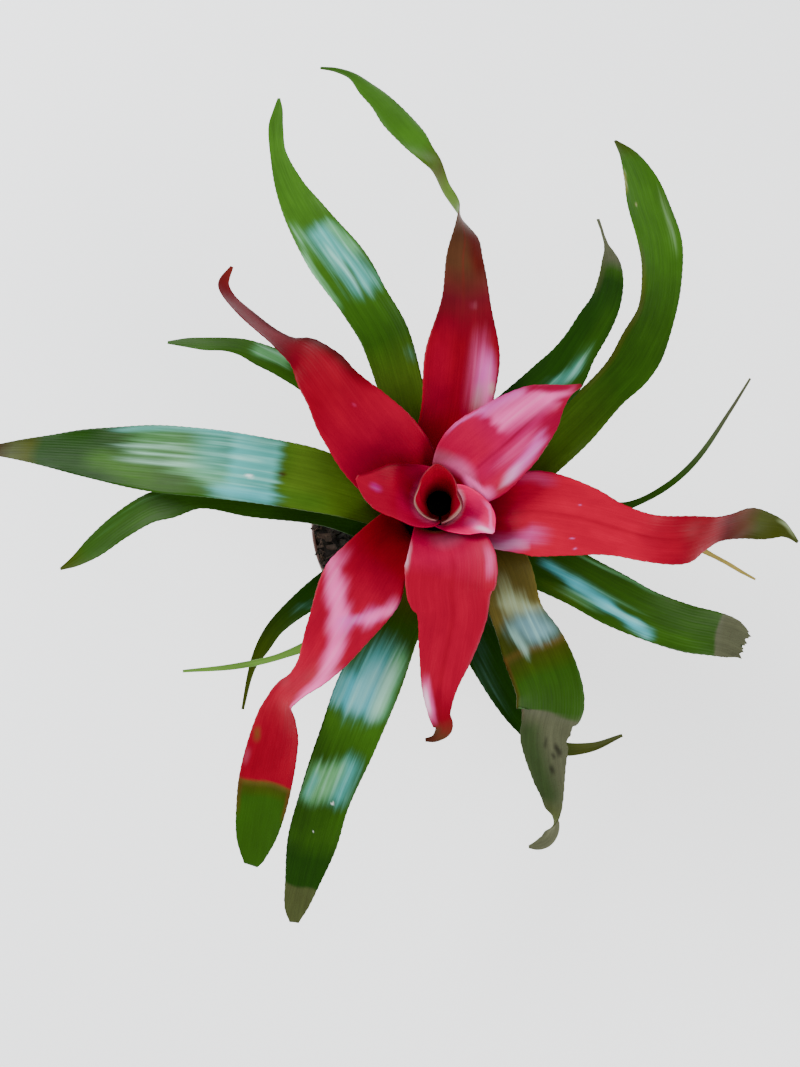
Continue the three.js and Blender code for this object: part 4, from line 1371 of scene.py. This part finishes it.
@dataclass(frozen=True)
class LeafFinish:
    """A waxy leaf: its colours and painted reflections come from the surface, its streaks and ribs from
    here.

    Scales are given across and along for each UV unit. Two values whose name ends in _at are
    those of a noise between which its spots come up, here and in the other finishes.

    Attributes:
        streak: How much the lengthwise streaks darken and lighten the colour.
        rib: Depth of the fine ribs, in millimetres.
        streaky: How far the painted reflections break up into streaks.
        reflection_whitening: How far the painted reflections turn white in places.
        relief: Heights of the ribs, of the streaks and of the dry part's crust.
    """

    name: str
    streak: float
    gloss: float
    shine: float
    rib: float
    streaky: float
    reflection_whitening: float
    fine_scale: Triple = (150.0, 3.5, 1.0)
    broad_scale: Triple = (46.0, 1.4, 1.0)
    cloud_scale: Triple = (6.0, 3.0, 1.0)
    speck_scale: Triple = (260.0, 190.0, 1.0)
    rib_turns: float = 420.0
    cloud_shade: Span = (0.88, 1.1)
    speck_at: Span = (0.62, 0.72)
    speck_cover: float = 0.55
    broad_break: float = 1.2
    fine_break: Span = (0.4, 0.1)
    whitening_at: Span = (0.4, 0.75)
    whitening_clouds: Triple = (0.35, 0.7, 0.4)
    gloss_spread: Span = (0.05, 0.09)
    relief: Triple = (0.35, 1.2, 6.0)
    relief_strength: float = 0.5
    dry_rough: float = 0.4
    refraction: float = 1.45

    def material(self) -> bpy.types.Material:
        """Lengthwise streaks over the leaf's own colours, streaked painted reflections, fine ribs and
        dry skin.

        Returns:
            The finished material.
        """
        g = Graph(self.name)
        place = g.place("UV")
        tint = g.attribute("tint").outputs["Color"]
        sheen = g.attribute("sheen")
        dry = g.attribute("dry").outputs["Fac"]
        fine = g.drawn_noise(place, self.fine_scale, 3.0, 0.6)
        broad = g.drawn_noise(place, self.broad_scale, 2.0, 0.5)
        cloud = g.drawn_noise(place, self.cloud_scale, 3.0, 0.6)
        speck = g.drawn_noise(place, self.speck_scale, 1.0, 0.4)

        deep, pale = 1.0 - self.streak, 1.0 + self.streak
        shade = g.times(g.about(fine, deep, pale), g.about(broad, deep, pale))
        colour = g.scaled(tint, g.times(shade, g.about(cloud, *self.cloud_shade)))
        specks = g.times(g.times(g.ramp(speck, *self.speck_at), dry), self.speck_cover)
        colour = g.mix(specks, colour, Hue.HEART_BROWN.linear)

        # The sheen attribute holds painted reflections of the sky and lamps: here they are broken into
        # streaks, whitened in places and laid over the colour.
        thin, thick = self.fine_break
        broken = g.about(broad, 1.0 + self.broad_break * self.streaky, 1.0)
        combed = g.about(fine, 1.0 + thin * self.streaky, 1.0 - thick * self.streaky)
        cover = g.maths(Maths.POWER, sheen.outputs["Alpha"], g.times(broken, combed))
        white = g.ramp(broad, *self.whitening_at, 0.0, self.reflection_whitening)
        white = g.times(white, g.ramp(cloud, *self.whitening_clouds, 1.0))
        # bloom is the painted reflection's colour, whitened in places.
        bloom = g.mix(white, sheen.outputs["Color"], Hue.REFLECTION_WHITE.linear)
        colour = g.mix(cover, colour, bloom)

        glossier, rougher = self.gloss_spread
        rough = g.ramp(fine, *g.WIDE, self.gloss - glossier, self.gloss + rougher)
        rough = g.maths(Maths.PLUS, rough, g.times(dry, self.dry_rough))
        across = g.node("SeparateXYZ", {0: place}).outputs[0]
        ribs = g.maths(Maths.SINE, g.times(across, self.rib_turns))
        ridge, grain, crust = self.relief
        height = g.maths(Maths.PLUS, g.times(ribs, ridge), g.times(fine, grain))
        height = g.maths(Maths.PLUS, height, g.times(g.times(cloud, dry), crust))
        return g.close({
            "Base Color": colour,
            "Roughness": rough,
            "Normal": g.bump(height, self.relief_strength, self.rib),
            "IOR": self.refraction,
            "Specular IOR Level": self.shine,
        })


@dataclass(frozen=True)
class PotFinish:
    """Thin moulded plastic, scuffed, with a bloom of salts below the rim.

    The gloss gives the roughness of smooth and of rubbed plastic, and salt_rise the heights
    between which the salts come up, in metres.
    """

    name: str = "pot_plastic"
    body: Rgb = (0.13, 0.05, 0.042)
    scuff: Rgb = (0.33, 0.19, 0.18)
    salt: Rgb = (0.46, 0.34, 0.34)
    salt_rise: Span = (0.086, 0.107)
    flow_at: Span = (0.4, 0.75)
    flow_cover: float = 0.35
    scuff_at: Span = (0.55, 0.75)
    scuff_cover: float = 0.45
    salt_at: Span = (0.46, 0.66)
    salt_cover: float = 0.45
    gloss: Span = (0.36, 0.62)
    flow_scale: Triple = (30.0, 30.0, 8.0)
    rub_scale: float = 95.0
    grain_scale: float = 420.0
    grain: float = 0.3
    grain_strength: float = 0.25

    def material(self) -> bpy.types.Material:
        """Flow marks, rubbed spots and salts, all from the place on the object.

        Returns:
            The finished material.
        """
        g = Graph(self.name)
        place = g.place("Object")
        flow = g.drawn_noise(place, self.flow_scale, 4.0)
        rub = g.noise(place, self.rub_scale, 5.0, 0.7)
        height = g.node("SeparateXYZ", {0: place}).outputs[2]
        near_rim = g.ramp(height, *self.salt_rise)
        marks = g.ramp(flow, *self.flow_at, 0.0, self.flow_cover)
        scuffs = g.times(g.ramp(rub, *self.scuff_at), self.scuff_cover)
        salts = g.times(g.ramp(rub, *self.salt_at), g.times(near_rim, self.salt_cover))
        colour = g.mix(marks, self.body, self.scuff)
        colour = g.mix(scuffs, colour, self.scuff)
        colour = g.mix(salts, colour, self.salt)
        grain = g.noise(place, self.grain_scale, 2.0)
        return g.close({
            "Base Color": colour,
            "Roughness": g.about(rub, *self.gloss),
            "Normal": g.bump(grain, self.grain_strength, self.grain),
        })


@dataclass(frozen=True)
class MixFinish:
    """Damp bark and coir: near-black crumb, with brown chips and pale fibres by their tint."""

    name: str = "potting_mix"
    grit_scale: float = 620.0
    grit_at: Span = (0.25, 0.75)
    grit_shade: Span = (0.5, 1.6)
    patch_scale: float = 85.0
    patch_shade: Span = (0.7, 1.25)
    gloss: Span = (0.75, 0.95)
    skin: float = 1.2
    skin_strength: float = 0.8

    def material(self) -> bpy.types.Material:
        """Each crumb's own tint, mottled by grit and by patches, with a rough skin.

        Returns:
            The finished material.
        """
        g = Graph(self.name)
        place = g.place("Object")
        tint = g.attribute("tint").outputs["Color"]
        grit = g.noise(place, self.grit_scale, 5.0, 0.7)
        patch = g.noise(place, self.patch_scale)
        grains = g.ramp(grit, *self.grit_at, *self.grit_shade)
        shade = g.times(grains, g.about(patch, *self.patch_shade))
        return g.close({
            "Base Color": g.scaled(tint, shade),
            "Roughness": g.about(patch, *self.gloss),
            "Normal": g.bump(grit, self.skin_strength, self.skin),
        })


@dataclass(frozen=True)
class StemFinish:
    """A short fibrous stem, brown between greener fibres."""

    name: str = "stem"
    low: Rgb = (0.05, 0.032, 0.018)
    high: Rgb = (0.07, 0.075, 0.025)
    fibre_scale: Triple = (260.0, 260.0, 28.0)
    fibre_at: Span = (0.35, 0.7)
    fibre: float = 0.8
    fibre_strength: float = 0.6
    gloss: float = 0.8

    def material(self) -> bpy.types.Material:
        """Lengthwise fibres in colour and relief.

        Returns:
            The finished material.
        """
        g = Graph(self.name)
        fibre = g.drawn_noise(g.place("Object"), self.fibre_scale, 4.0)
        colour = g.mix(g.ramp(fibre, *self.fibre_at), self.low, self.high)
        normal = g.bump(fibre, self.fibre_strength, self.fibre)
        return g.close({"Base Color": colour, "Roughness": self.gloss, "Normal": normal})


@dataclass(frozen=True)
class FloorFinish:
    """Smooth pale paper, with a glow of its own that keeps it pale under the plant."""

    name: str = "floor_paper"
    colour: Rgb = (0.88, 0.88, 0.88)
    glow: float = 1.2
    mottle_scale: float = 30.0
    gloss: Span = (0.8, 0.92)

    def material(self) -> bpy.types.Material:
        """A faint mottle in the roughness only.

        Returns:
            The finished material.
        """
        g = Graph(self.name)
        mottle = g.noise(g.place("Object"), self.mottle_scale)
        return g.close({
            "Base Color": (*self.colour, 1.0),
            "Roughness": g.about(mottle, *self.gloss),
            "Emission Color": (*self.colour, 1.0),
            "Emission Strength": self.glow,
        })


def arc(centre: Span, radius: float, start: float, stop: float, steps: int) -> list[Span]:
    """Points on an arc, from start to stop in degrees."""
    turn = np.radians(np.linspace(start, stop, steps))
    return [(centre[0] + radius * math.cos(a), centre[1] + radius * math.sin(a)) for a in turn]


def turned_surface(profile: list[Span], sides: int) -> Surface:
    """A closed surface of revolution from a profile that starts and ends on the axis.

    Args:
        profile: Distance from the axis and height of each point, outside upwards.
        sides: Number of points round the axis.

    Returns:
        The surface, with its two poles closed by triangles.
    """
    ring = np.array(profile[1:-1], float)
    angle = np.linspace(0, 2 * np.pi, sides, endpoint=False)
    rows = len(ring)
    points = np.stack([
        np.outer(ring[:, 0], np.cos(angle)),
        np.outer(ring[:, 0], np.sin(angle)),
        np.outer(ring[:, 1], np.ones(sides)),
    ], -1).reshape(-1, 3)
    walls = closed_quads(rows, sides)[:, ::-1].tolist()
    first = np.arange(sides)
    following = np.roll(first, -1)
    foot, head = np.full(sides, rows * sides), np.full(sides, rows * sides + 1)
    start = np.stack([foot, following, first], -1)
    end = np.stack([head, first + (rows - 1) * sides, following + (rows - 1) * sides], -1)
    poles = np.array([[0, 0, profile[0][1]], [0, 0, profile[-1][1]]])
    faces = walls + start.tolist() + end.tolist()
    return Surface(np.concatenate([points, poles]), faces, np.ones(len(faces), bool))


@dataclass
class NurseryPot:
    """The thin pot: a tapered wall with a stepped collar, a round lip and a drained floor.

    Attributes:
        recess: Height of the base inside the ring that the pot stands on.
        foot_ring: Width of that ring, at its top and at its bottom.
        floor_round: Sides of the slope between the wall's inner side and the floor.
        shelf: Width of the shelf inside, and the heights of its edges over the collar's foot.
        wall_ends: Height at which the wall starts, and how far below the collar it ends.
        wall_steps: Heights of its shallow moulded step, and of its middle.
    """

    height: float = 108.0
    foot_radius: float = 49.0
    shoulder_radius: float = 67.0
    rim_radius: float = 72.0
    rim_height: float = 13.0
    wall: float = 1.8
    floor: float = 2.4
    recess: float = 0.6
    foot_ring: Span = (7.0, 6.4)
    floor_round: Triple = (0.5, 1.5, 1.0)
    edge_round: float = 1.2
    edge_points: int = 5
    collar_inset: float = 1.9
    lip_round: float = 0.9
    lip_points: int = 9
    lip_depth: float = 2.4
    shelf: Triple = (0.9, 3.0, 0.8)
    crease: Span = (0.6, 0.4)
    wall_ends: Span = (2.0, 2.5)
    wall_step: float = 0.35
    wall_steps: tuple[float, ...] = (30.0, 31.0, 60.0)
    drain_holes: int = 6
    drain_radius: float = 4.5
    drain_at: float = 36.0
    drain_sides: int = 32
    sides: int = 180

    def profile(self) -> list[Span]:
        """Outside from the middle of the base up to the lip, then down the inside.

        Returns:
            Distance from the axis and height of each point.
        """
        step = self.height - self.rim_height
        foot, shoulder, rim = self.foot_radius, self.shoulder_radius, self.rim_radius
        edge, lip = self.edge_round, self.lip_round
        wide, narrow = self.foot_ring
        fold, drop = self.crease
        ledge, upper, lower = self.shelf
        out, up, back = self.floor_round
        return [
            (0, self.recess), (foot - wide, self.recess), (foot - narrow, 0),
            *arc((foot - edge, edge), edge, -90, -12, self.edge_points),
            *self.moulded_wall(step - self.wall_ends[1]),
            (shoulder, step - drop), (shoulder + fold, step),
            *arc((rim - self.collar_inset, step + edge), edge, -90, 0, self.edge_points),
            *arc((rim - lip, self.height - lip), lip, 0, 180, self.lip_points),
            (rim - self.wall, self.height - self.lip_depth),
            (rim - self.wall - ledge, step + upper), (shoulder - self.wall, step + lower),
            (foot - self.wall + out, self.floor + up), (foot - self.wall - back, self.floor),
            (0, self.floor),
        ]

    def moulded_wall(self, top: float) -> list[Span]:
        """The tapered wall, with a shallow step a third of the way up, as moulded pots have.

        Args:
            top: Height at which the wall ends.

        Returns:
            Distance from the axis and height of each point.
        """
        low = self.wall_ends[0]
        heights = np.array([low, *self.wall_steps, top])
        share = (heights - low) / (top - low)
        taper = self.shoulder_radius - self.foot_radius - 2 * self.wall_step
        radii = self.foot_radius + self.wall_step + taper * share
        radii[:2] -= self.wall_step
        return list(zip(radii.tolist(), heights.tolist()))

    def build(self) -> bpy.types.Object:
        """Turn the profile, then drill the floor.

        Returns:
            The pot.
        """
        pot = turned_surface(self.profile(), self.sides).to_object("nursery_pot")
        drills = bmesh.new()
        for k in range(self.drain_holes):
            angle = 2 * math.pi * (k + 0.5) / self.drain_holes
            place = Vector((math.cos(angle), math.sin(angle), 0)) * self.drain_at * MM
            radius = self.drain_radius * MM
            bmesh.ops.create_cone(
                drills, cap_ends=True, segments=self.drain_sides, radius1=radius, radius2=radius,
                depth=4 * self.floor * MM, matrix=Matrix.Translation(place))
        mesh = bpy.data.meshes.new("drills")
        drills.to_mesh(mesh)
        drills.free()
        cutter = linked("drills", mesh)
        cut = pot.modifiers.new("drain", "BOOLEAN")
        cut.operation = "DIFFERENCE"
        cut.object = cutter
        cut.solver = "EXACT"
        settle(pot)
        bpy.data.objects.remove(cutter)
        return pot


def settle(piece: bpy.types.Object) -> None:
    """Apply a piece's modifiers to its mesh.

    Args:
        piece: The piece, which keeps its name and place.
    """
    graph = bpy.context.evaluated_depsgraph_get()
    done = bpy.data.meshes.new_from_object(piece.evaluated_get(graph))
    piece.modifiers.clear()
    old = piece.data
    piece.data = done
    bpy.data.meshes.remove(old)


@dataclass
class Crumb:
    """Loose pieces of one sort: their points, faces and the tint of each point."""

    points: Array
    faces: Array
    tint: Array


@dataclass
class PottingMix:
    """Crumbly bark mix: an uneven filling with chips of bark and coir fibres sunk in it.

    Two values of a length, rise or radius are the least and the most. A reach or band is a
    distance from the axis, and an angle is in degrees, or in radians for a bend or lean.

    Attributes:
        hollows: Height, pitch and seed of the surface's broad hollows, as crumbs of its fine crumb.
        wall_span: Where the surface begins to sink towards the wall, and over what distance.
        chip_rise: Share of a chip's thickness by which it stands out of the ground.
        bark_spread: The beta distribution of chips between the darkest and the brownest.
        lip: Distance and height of the top of the pot's lip, on which the spilt chips lie.
    """

    top: float = 99.0
    radius: float = 69.0
    shoulder: tuple[Span, ...] = ((0, 2.9), (46.6, 2.9), (64.6, 94.5), (67.5, 96.0))
    rings: int = 70
    sides: int = 220
    hollows: Triple = (1.3, 0.12, 1.0)
    crumbs: Triple = (0.7, 0.75, 2.3)
    wall_span: Span = (56.0, 11.0)
    wall_sink: float = 1.2
    heap: float = 8.2
    heap_at: float = 196.0
    heap_spread: float = 24.0
    heap_edge: float = 12.0
    stem_radius: float = 29.0
    chips: int = 520
    chip_least: Triple = (1.6, 1.0, 0.5)
    chip_most: Triple = (5.2, 3.0, 1.5)
    chip_corners: Span = (0.6, 1.15)
    chip_lean: float = 0.45
    chip_rise: float = 0.35
    chip_reach: float = 65.5
    bark: tuple[Rgb, Rgb] = ((0.012, 0.008, 0.006), (0.075, 0.042, 0.03))
    bark_spread: Span = (1.2, 2.6)
    spilt: int = 52
    spilt_reach: Span = (66.5, 70.9)
    spilt_size: float = 0.45
    lip: Span = (70.5, 108.0)
    lip_slope: float = 0.5
    fibres: int = 150
    fibre_steps: int = 9
    fibre_length: Span = (5.0, 17.0)
    fibre_bend: float = 0.7
    fibre_radius: Span = (0.1, 0.22)
    fibre_lift: Span = (0.4, 3.2)
    fibre_rest: float = 0.3
    fibre_reach: float = 66.0
    fibre_tint: Rgb = (0.12, 0.07, 0.05)
    fibres_over: int = 18
    over_band: Span = (66.0, 70.0)
    over_length: float = 0.4
    over_reach: float = 71.3
    inside_reach: float = 66.5
    soil: Rgb = (0.016, 0.009, 0.008)
    seed: int = 11

    def ground(self, x: Array, y: Array) -> Array:
        """Height of the surface: broad hollows and fine crumb, heaped to the rim on one side.

        Args:
            x: First place of each point.
            y: Second place.

        Returns:
            The height at each point.
        """
        near_wall = rising(np.hypot(x, y), *self.wall_span)
        away = np.abs((np.degrees(np.arctan2(y, x)) - self.heap_at + 180.0) % 360.0 - 180.0)
        heaped = falling(away, self.heap_spread + self.heap_edge, self.heap_edge)
        (deep, wide, first), (fine, close, second) = self.hollows, self.crumbs
        return (self.top + deep * ripple(wide * x, wide * y, first)
                + fine * ripple(close * x, close * y, second)
                + near_wall * (self.heap * heaped - self.wall_sink))

    def filling(self) -> Surface:
        """A turned body whose top rings carry the ground's height.

        Returns:
            The surface of the filling.
        """
        radii = np.linspace(self.radius, 0.5, self.rings)
        profile = [*self.shoulder, *((r, self.top) for r in radii.tolist()), (0, self.top)]
        made = turned_surface(profile, self.sides)
        x, y, z = made.points.T
        made.points[:, 2] = np.where(z > self.top - 1, self.ground(x, y), z)
        return made

    def chip_set(self, rng: np.random.Generator) -> Crumb:
        """Bark chips: boxes with their corners moved, turned any way and half sunk.

        Args:
            rng: The source of random draws.

        Returns:
            The chips.
        """
        count = self.chips
        cube = np.array([[x, y, z] for x in (-1, 1) for y in (-1, 1) for z in (-1, 1)], float)
        size = rng.uniform(self.chip_least, self.chip_most, (count, 3))
        corners = cube[None] * size[:, None] * rng.uniform(*self.chip_corners, (count, 8, 3))
        turn, lean = rng.uniform(0, 2 * np.pi, count), rng.normal(0, self.chip_lean, count)
        corners = spun(corners, turn, lean)
        distance = np.sqrt(rng.uniform(self.stem_radius ** 2, self.chip_reach ** 2, count))
        bearing = rng.uniform(0, 2 * np.pi, count)
        spilt = np.arange(count) < self.spilt
        distance[spilt] = rng.uniform(*self.spilt_reach, self.spilt)
        bearing[spilt] = np.radians(self.heap_at + self.heap_spread * rng.uniform(-1, 1, self.spilt))
        corners[spilt] *= self.spilt_size
        x, y = distance * np.cos(bearing), distance * np.sin(bearing)
        lip_at, lip_top = self.lip
        collar = lip_top - self.lip_slope * (lip_at - distance).clip(0)
        height = np.where(spilt, collar, self.ground(x, y))
        height = height + self.chip_rise * size[:, 2] * np.where(spilt, 0.5, 1.0)
        place = np.stack([x, y, height], -1)
        faces = np.array([[0, 1, 3, 2], [4, 6, 7, 5], [0, 4, 5, 1], [2, 3, 7, 6], [0, 2, 6, 4],
                          [1, 5, 7, 3]])
        dark, brown = np.array(self.bark)
        share = rng.beta(*self.bark_spread, count)[:, None, None]
        tint = np.broadcast_to(dark * (1 - share) + brown * share, (count, 8, 3))
        points = (corners + place[:, None]).reshape(-1, 3)
        return Crumb(points, tiled(faces, count, 8), tint.reshape(-1, 3))

    def fibre_set(self, rng: np.random.Generator) -> Crumb:
        """Coir fibres: thin three-sided tubes along bowed lines that lie on the ground.

        Some lie over the rim, where the mix was filled in.

        Args:
            rng: The source of random draws.

        Returns:
            The fibres.
        """
        column = (self.fibres, 1)
        share = np.linspace(-1, 1, self.fibre_steps)[None]
        length = rng.uniform(*self.fibre_length, column)
        heading = rng.uniform(0, 2 * np.pi, column) + rng.normal(0, self.fibre_bend, column) * share
        distance = np.sqrt(rng.uniform(self.stem_radius ** 2, self.fibre_reach ** 2, column))
        bearing = rng.uniform(0, 2 * np.pi, column)
        over = np.arange(self.fibres)[:, None] < self.fibres_over
        spread = self.heap_spread * rng.uniform(-1, 1, column)
        distance = np.where(over, rng.uniform(*self.over_band, column), distance)
        bearing = np.where(over, np.radians(self.heap_at + spread), bearing)
        length = np.where(over, self.over_length * length, length)
        x = distance * np.cos(bearing) + length * share * np.cos(heading)
        y = distance * np.sin(bearing) + length * share * np.sin(heading)
        reach = np.hypot(x, y)
        held = np.minimum(reach, np.where(over, self.over_reach, self.inside_reach)) / reach
        x, y = x * held, y * held
        lift = rng.uniform(*self.fibre_lift, column) * (1 - share ** 2) + self.fibre_rest
        spine = np.stack([x, y, self.ground(x, y) + lift], -1)
        return tubes(spine, rng.uniform(*self.fibre_radius, column), np.array(self.fibre_tint))

    def build(self) -> bpy.types.Object:
        """Join the filling, the chips and the fibres in one mesh.

        Returns:
            The mix.
        """
        rng = np.random.default_rng(self.seed)
        filling = self.filling()
        points, faces = [filling.points], list(filling.faces)
        tints = [np.broadcast_to(np.array(self.soil), filling.points.shape)]
        for crumb in (self.chip_set(rng), self.fibre_set(rng)):
            faces += (crumb.faces + sum(len(p) for p in points)).tolist()
            points.append(crumb.points)
            tints.append(crumb.tint)
        smooth = np.arange(len(faces)) < len(filling.faces)
        colours = {"tint": opaque(np.concatenate(tints))}
        return Surface(np.concatenate(points), faces, smooth, colours=colours).to_object("bark_mix")


def spun(points: Array, turn: Array, lean: Array) -> Array:
    """Groups of points leaned about X, then turned about Z.

    Args:
        points: Groups by points by 3.
        turn: Each group's angle about Z.
        lean: Each group's angle about X.

    Returns:
        The moved points.
    """
    cl, sl = np.cos(lean)[:, None], np.sin(lean)[:, None]
    x = points[..., 0]
    y = points[..., 1] * cl - points[..., 2] * sl
    z = points[..., 1] * sl + points[..., 2] * cl
    ct, st = np.cos(turn)[:, None], np.sin(turn)[:, None]
    return np.stack([x * ct - y * st, x * st + y * ct, z], -1)


def tiled(faces: Array, count: int, stride: int) -> Array:
    """The faces of one shape, repeated for copies whose vertices follow one another."""
    return (faces[None] + stride * np.arange(count)[:, None, None]).reshape(-1, faces.shape[1])


def tubes(spine: Array, radius: Array, tint: Array) -> Crumb:
    """Thin closed tubes with three sides and pinched ends round lines of points.

    Each ring lies square to the line, and its radius falls towards the ends as the square root
    of one less the sixth power of the share along.

    Args:
        spine: Points of each line, lines by points by 3.
        radius: Radius of each line's tube at its middle.
        tint: Colour of the tubes.

    Returns:
        The tubes.
    """
    count, steps, sides = *spine.shape[:2], 3
    forward = unit(np.gradient(spine, axis=1))
    side = unit(np.cross(forward, np.array([0.0, 0.0, 1.0])))
    up = np.cross(side, forward)
    taper = np.sqrt(np.maximum(1 - np.linspace(-1, 1, steps) ** 6, 0.05))
    size = (radius * taper)[..., None]
    turns = [2 * math.pi * k / sides for k in range(sides)]
    rings = np.stack([spine + size * (side * math.cos(a) + up * math.sin(a)) for a in turns], 2)
    stride = steps * sides
    caps = np.array([[0, 1, 2, 2], [stride - 1, stride - 2, stride - 3, stride - 3]])
    faces = np.concatenate([
        tiled(closed_quads(steps, sides), count, stride),
        tiled(caps, count, stride),
    ])
    return Crumb(rings.reshape(-1, 3), faces, np.broadcast_to(tint, (count * stride, 3)))


@dataclass
class Stem:
    """The short stem: a cone ringed by even swellings, on a plug that stands in the mix.

    The cone stays inside the leaf feet by the clearance, and has a swelling for each ring.
    """

    root_radius: float = 30.0
    base: float = 85.0
    shoulder: float = 100.8
    clearance: float = 0.9
    tip: Span = (6.5, 149.4)
    crown: tuple[Span, ...] = ((3.2, 152.0), (1.2, 152.9), (0, 153.0))
    cone_top: float = 149.0
    cone_steps: int = 96
    rings: int = 12
    swell: float = 0.35
    sides: int = 128

    def build(self) -> bpy.types.Object:
        """Turn a profile through the feet of the guides, with a sine's swellings on it.

        Returns:
            The stem.
        """
        feet = [NestCurve.GUIDES[layer][0] for layer in sorted(NestCurve.GUIDES, reverse=True)]
        radii = np.array([self.root_radius, *(r - self.clearance for r, _ in feet), self.tip[0]])
        heights = np.array([self.shoulder, *(z for _, z in feet), self.tip[1]])
        order = np.argsort(heights, kind="stable")
        steps = np.linspace(self.shoulder, self.cone_top, self.cone_steps)
        cone = np.interp(steps, heights[order], radii[order])
        turns = np.pi * self.rings * (steps - steps[0]) / (steps[-1] - steps[0])
        swollen = cone - self.swell * np.abs(np.sin(turns))
        profile = [(0, self.base), (self.root_radius, self.base),
                   *zip(swollen.tolist(), steps.tolist()), *self.crown]
        return turned_surface(profile, self.sides).to_object("leaf_scarred_stem")


@dataclass
class Rosette:
    """The plant: its stem, the rolled leaf of the cup and the strap leaves round it."""

    blade: Blade = field(default_factory=Blade)
    red: LeafFinish = LeafFinish("waxy_red_leaf", streak=0.03, gloss=0.36, shine=0.08, rib=0.05,
                                 streaky=0.3, reflection_whitening=0.1)
    green: LeafFinish = LeafFinish("waxy_green_leaf", streak=0.08, gloss=0.36, shine=0.08, rib=0.08,
                                   streaky=0.8, reflection_whitening=0.4)

    def build(self) -> None:
        """Build each leaf and the stem, dress them and seat them over their solids."""
        red, green = self.red.material(), self.green.material()
        finishes = {Kind.CUP: red, Kind.RED: red, Kind.GREEN: green}
        for leaf in LEAVES:
            piece = LeafSurface(leaf, self.blade).build().to_object("fine_" + leaf.name)
            seat(piece, leaf.name, finishes[leaf.kind])
        rolled = CupLeaf().build().to_object("fine_cup_leaf_inner")
        seat(rolled, "cup_leaf_inner", finishes[Kind.CUP])
        seat(Stem().build(), "stem", StemFinish().material())


def seat(piece: bpy.types.Object, node: str, material: bpy.types.Material) -> None:
    """Give a piece its finish, and let it stand for a solid of the fixed frame.

    Args:
        piece: The piece.
        node: The solid that it replaces.
        material: Its finish.
    """
    piece.data.materials.clear()
    piece.data.materials.append(material)
    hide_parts(node)
    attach(piece, "root")
    LOG.info("%s: %d faces for %s", piece.name, len(piece.data.polygons), node)


@dataclass(frozen=True)
class Lamp:
    """A square soft light that faces the plant's middle, in metres and watts."""

    name: str
    place: Triple
    power: float
    colour: Rgb
    size: float = 0.9
    aim: Triple = (0.0, 0.0, 0.15)

    def build(self) -> None:
        """Hang the light."""
        data = bpy.data.lights.new(self.name, "AREA")
        data.size = self.size
        data.energy = self.power
        data.color = self.colour
        made = linked(self.name, data)
        made.location = self.place
        way = Vector(self.aim) - Vector(self.place)
        made.rotation_euler = way.to_track_quat("-Z", "Y").to_euler()


@dataclass
class Studio:
    """A pale floor, soft light from overhead, and the camera at the photograph's angle.

    The camera's place was worked out from the pot's rim and the rosette's axis: it looks down
    at 84 degrees above the horizon. Its target and distance are in millimetres, and the floor
    and how far it sees are in metres.
    """

    elevation: float = 84.0
    distance: float = 614.7
    target: Triple = (-18.6, -7.6, 108.0)
    focal_pixels: float = 1025.0
    image_height: float = 1067.0
    sensor: float = 36.0
    far: float = 20.0
    floor_half: float = 3.0
    floor_steps: int = 33
    floor_dish: float = 0.4
    floor_span: Span = (0.55, 0.8)
    sky: Rgb = (0.9, 0.95, 1.0)
    sky_light: float = 0.7
    lamps: tuple[Lamp, ...] = (
        Lamp("window", (-1.2, 0.7, 1.0), 36.0, (0.96, 0.98, 1.0)),
        Lamp("lamp", (1.1, -0.9, 1.0), 22.0, (1.0, 0.98, 0.95)),
    )

    def set_camera(self) -> None:
        """The camera: its lens is the focal length in pixels over the image's height."""
        data = bpy.data.cameras.new("camera")
        data.sensor_fit = "AUTO"
        data.sensor_width = self.sensor
        data.lens = self.focal_pixels * self.sensor / self.image_height
        data.clip_end = self.far
        made = linked("camera", data)
        tilt = math.radians(self.elevation)
        back = Vector((0.0, -math.cos(tilt), math.sin(tilt)))
        made.location = (Vector(self.target) + back * self.distance) * MM
        made.rotation_euler = (math.radians(90.0 - self.elevation), 0.0, 0.0)
        bpy.context.scene.camera = made

    def lay_floor(self) -> None:
        """A wide sheet that rises by an eased step towards its edge, so it has no hard horizon."""
        span = np.linspace(-1, 1, self.floor_steps)
        x, y = np.meshgrid(span, span, indexing="ij")
        rise = self.floor_dish * rising(np.hypot(x, y), *self.floor_span)
        points = np.stack([x * self.floor_half, y * self.floor_half, rise], -1).reshape(-1, 3) / MM
        faces = quads(np.arange(x.size).reshape(x.shape)).tolist()
        sheet = Surface(points, faces, np.ones(len(faces), bool)).to_object("floor")
        sheet.data.materials.append(FloorFinish().material())

    def set_sky(self) -> None:
        """An even pale sky that lights the plant and is mirrored by its wax."""
        world = bpy.data.worlds.new("sky")
        world.use_nodes = True
        shade = world.node_tree.nodes["Background"]
        shade.inputs[0].default_value = (*self.sky, 1.0)
        shade.inputs[1].default_value = self.sky_light
        bpy.context.scene.world = world

    def build(self) -> None:
        """Set the camera, the floor, the sky and the lights."""
        self.set_camera()
        self.lay_floor()
        self.set_sky()
        for lamp in self.lamps:
            lamp.build()


def main() -> None:
    """Build the pot, the mix, the plant and the studio."""
    logging.basicConfig(level=logging.INFO, format="%(name)s %(message)s")
    seat(NurseryPot().build(), "pot", PotFinish().material())
    seat(PottingMix().build(), "potting_mix", MixFinish().material())
    Rosette().build()
    Studio().build()


if __name__ == "__main__":
    main()
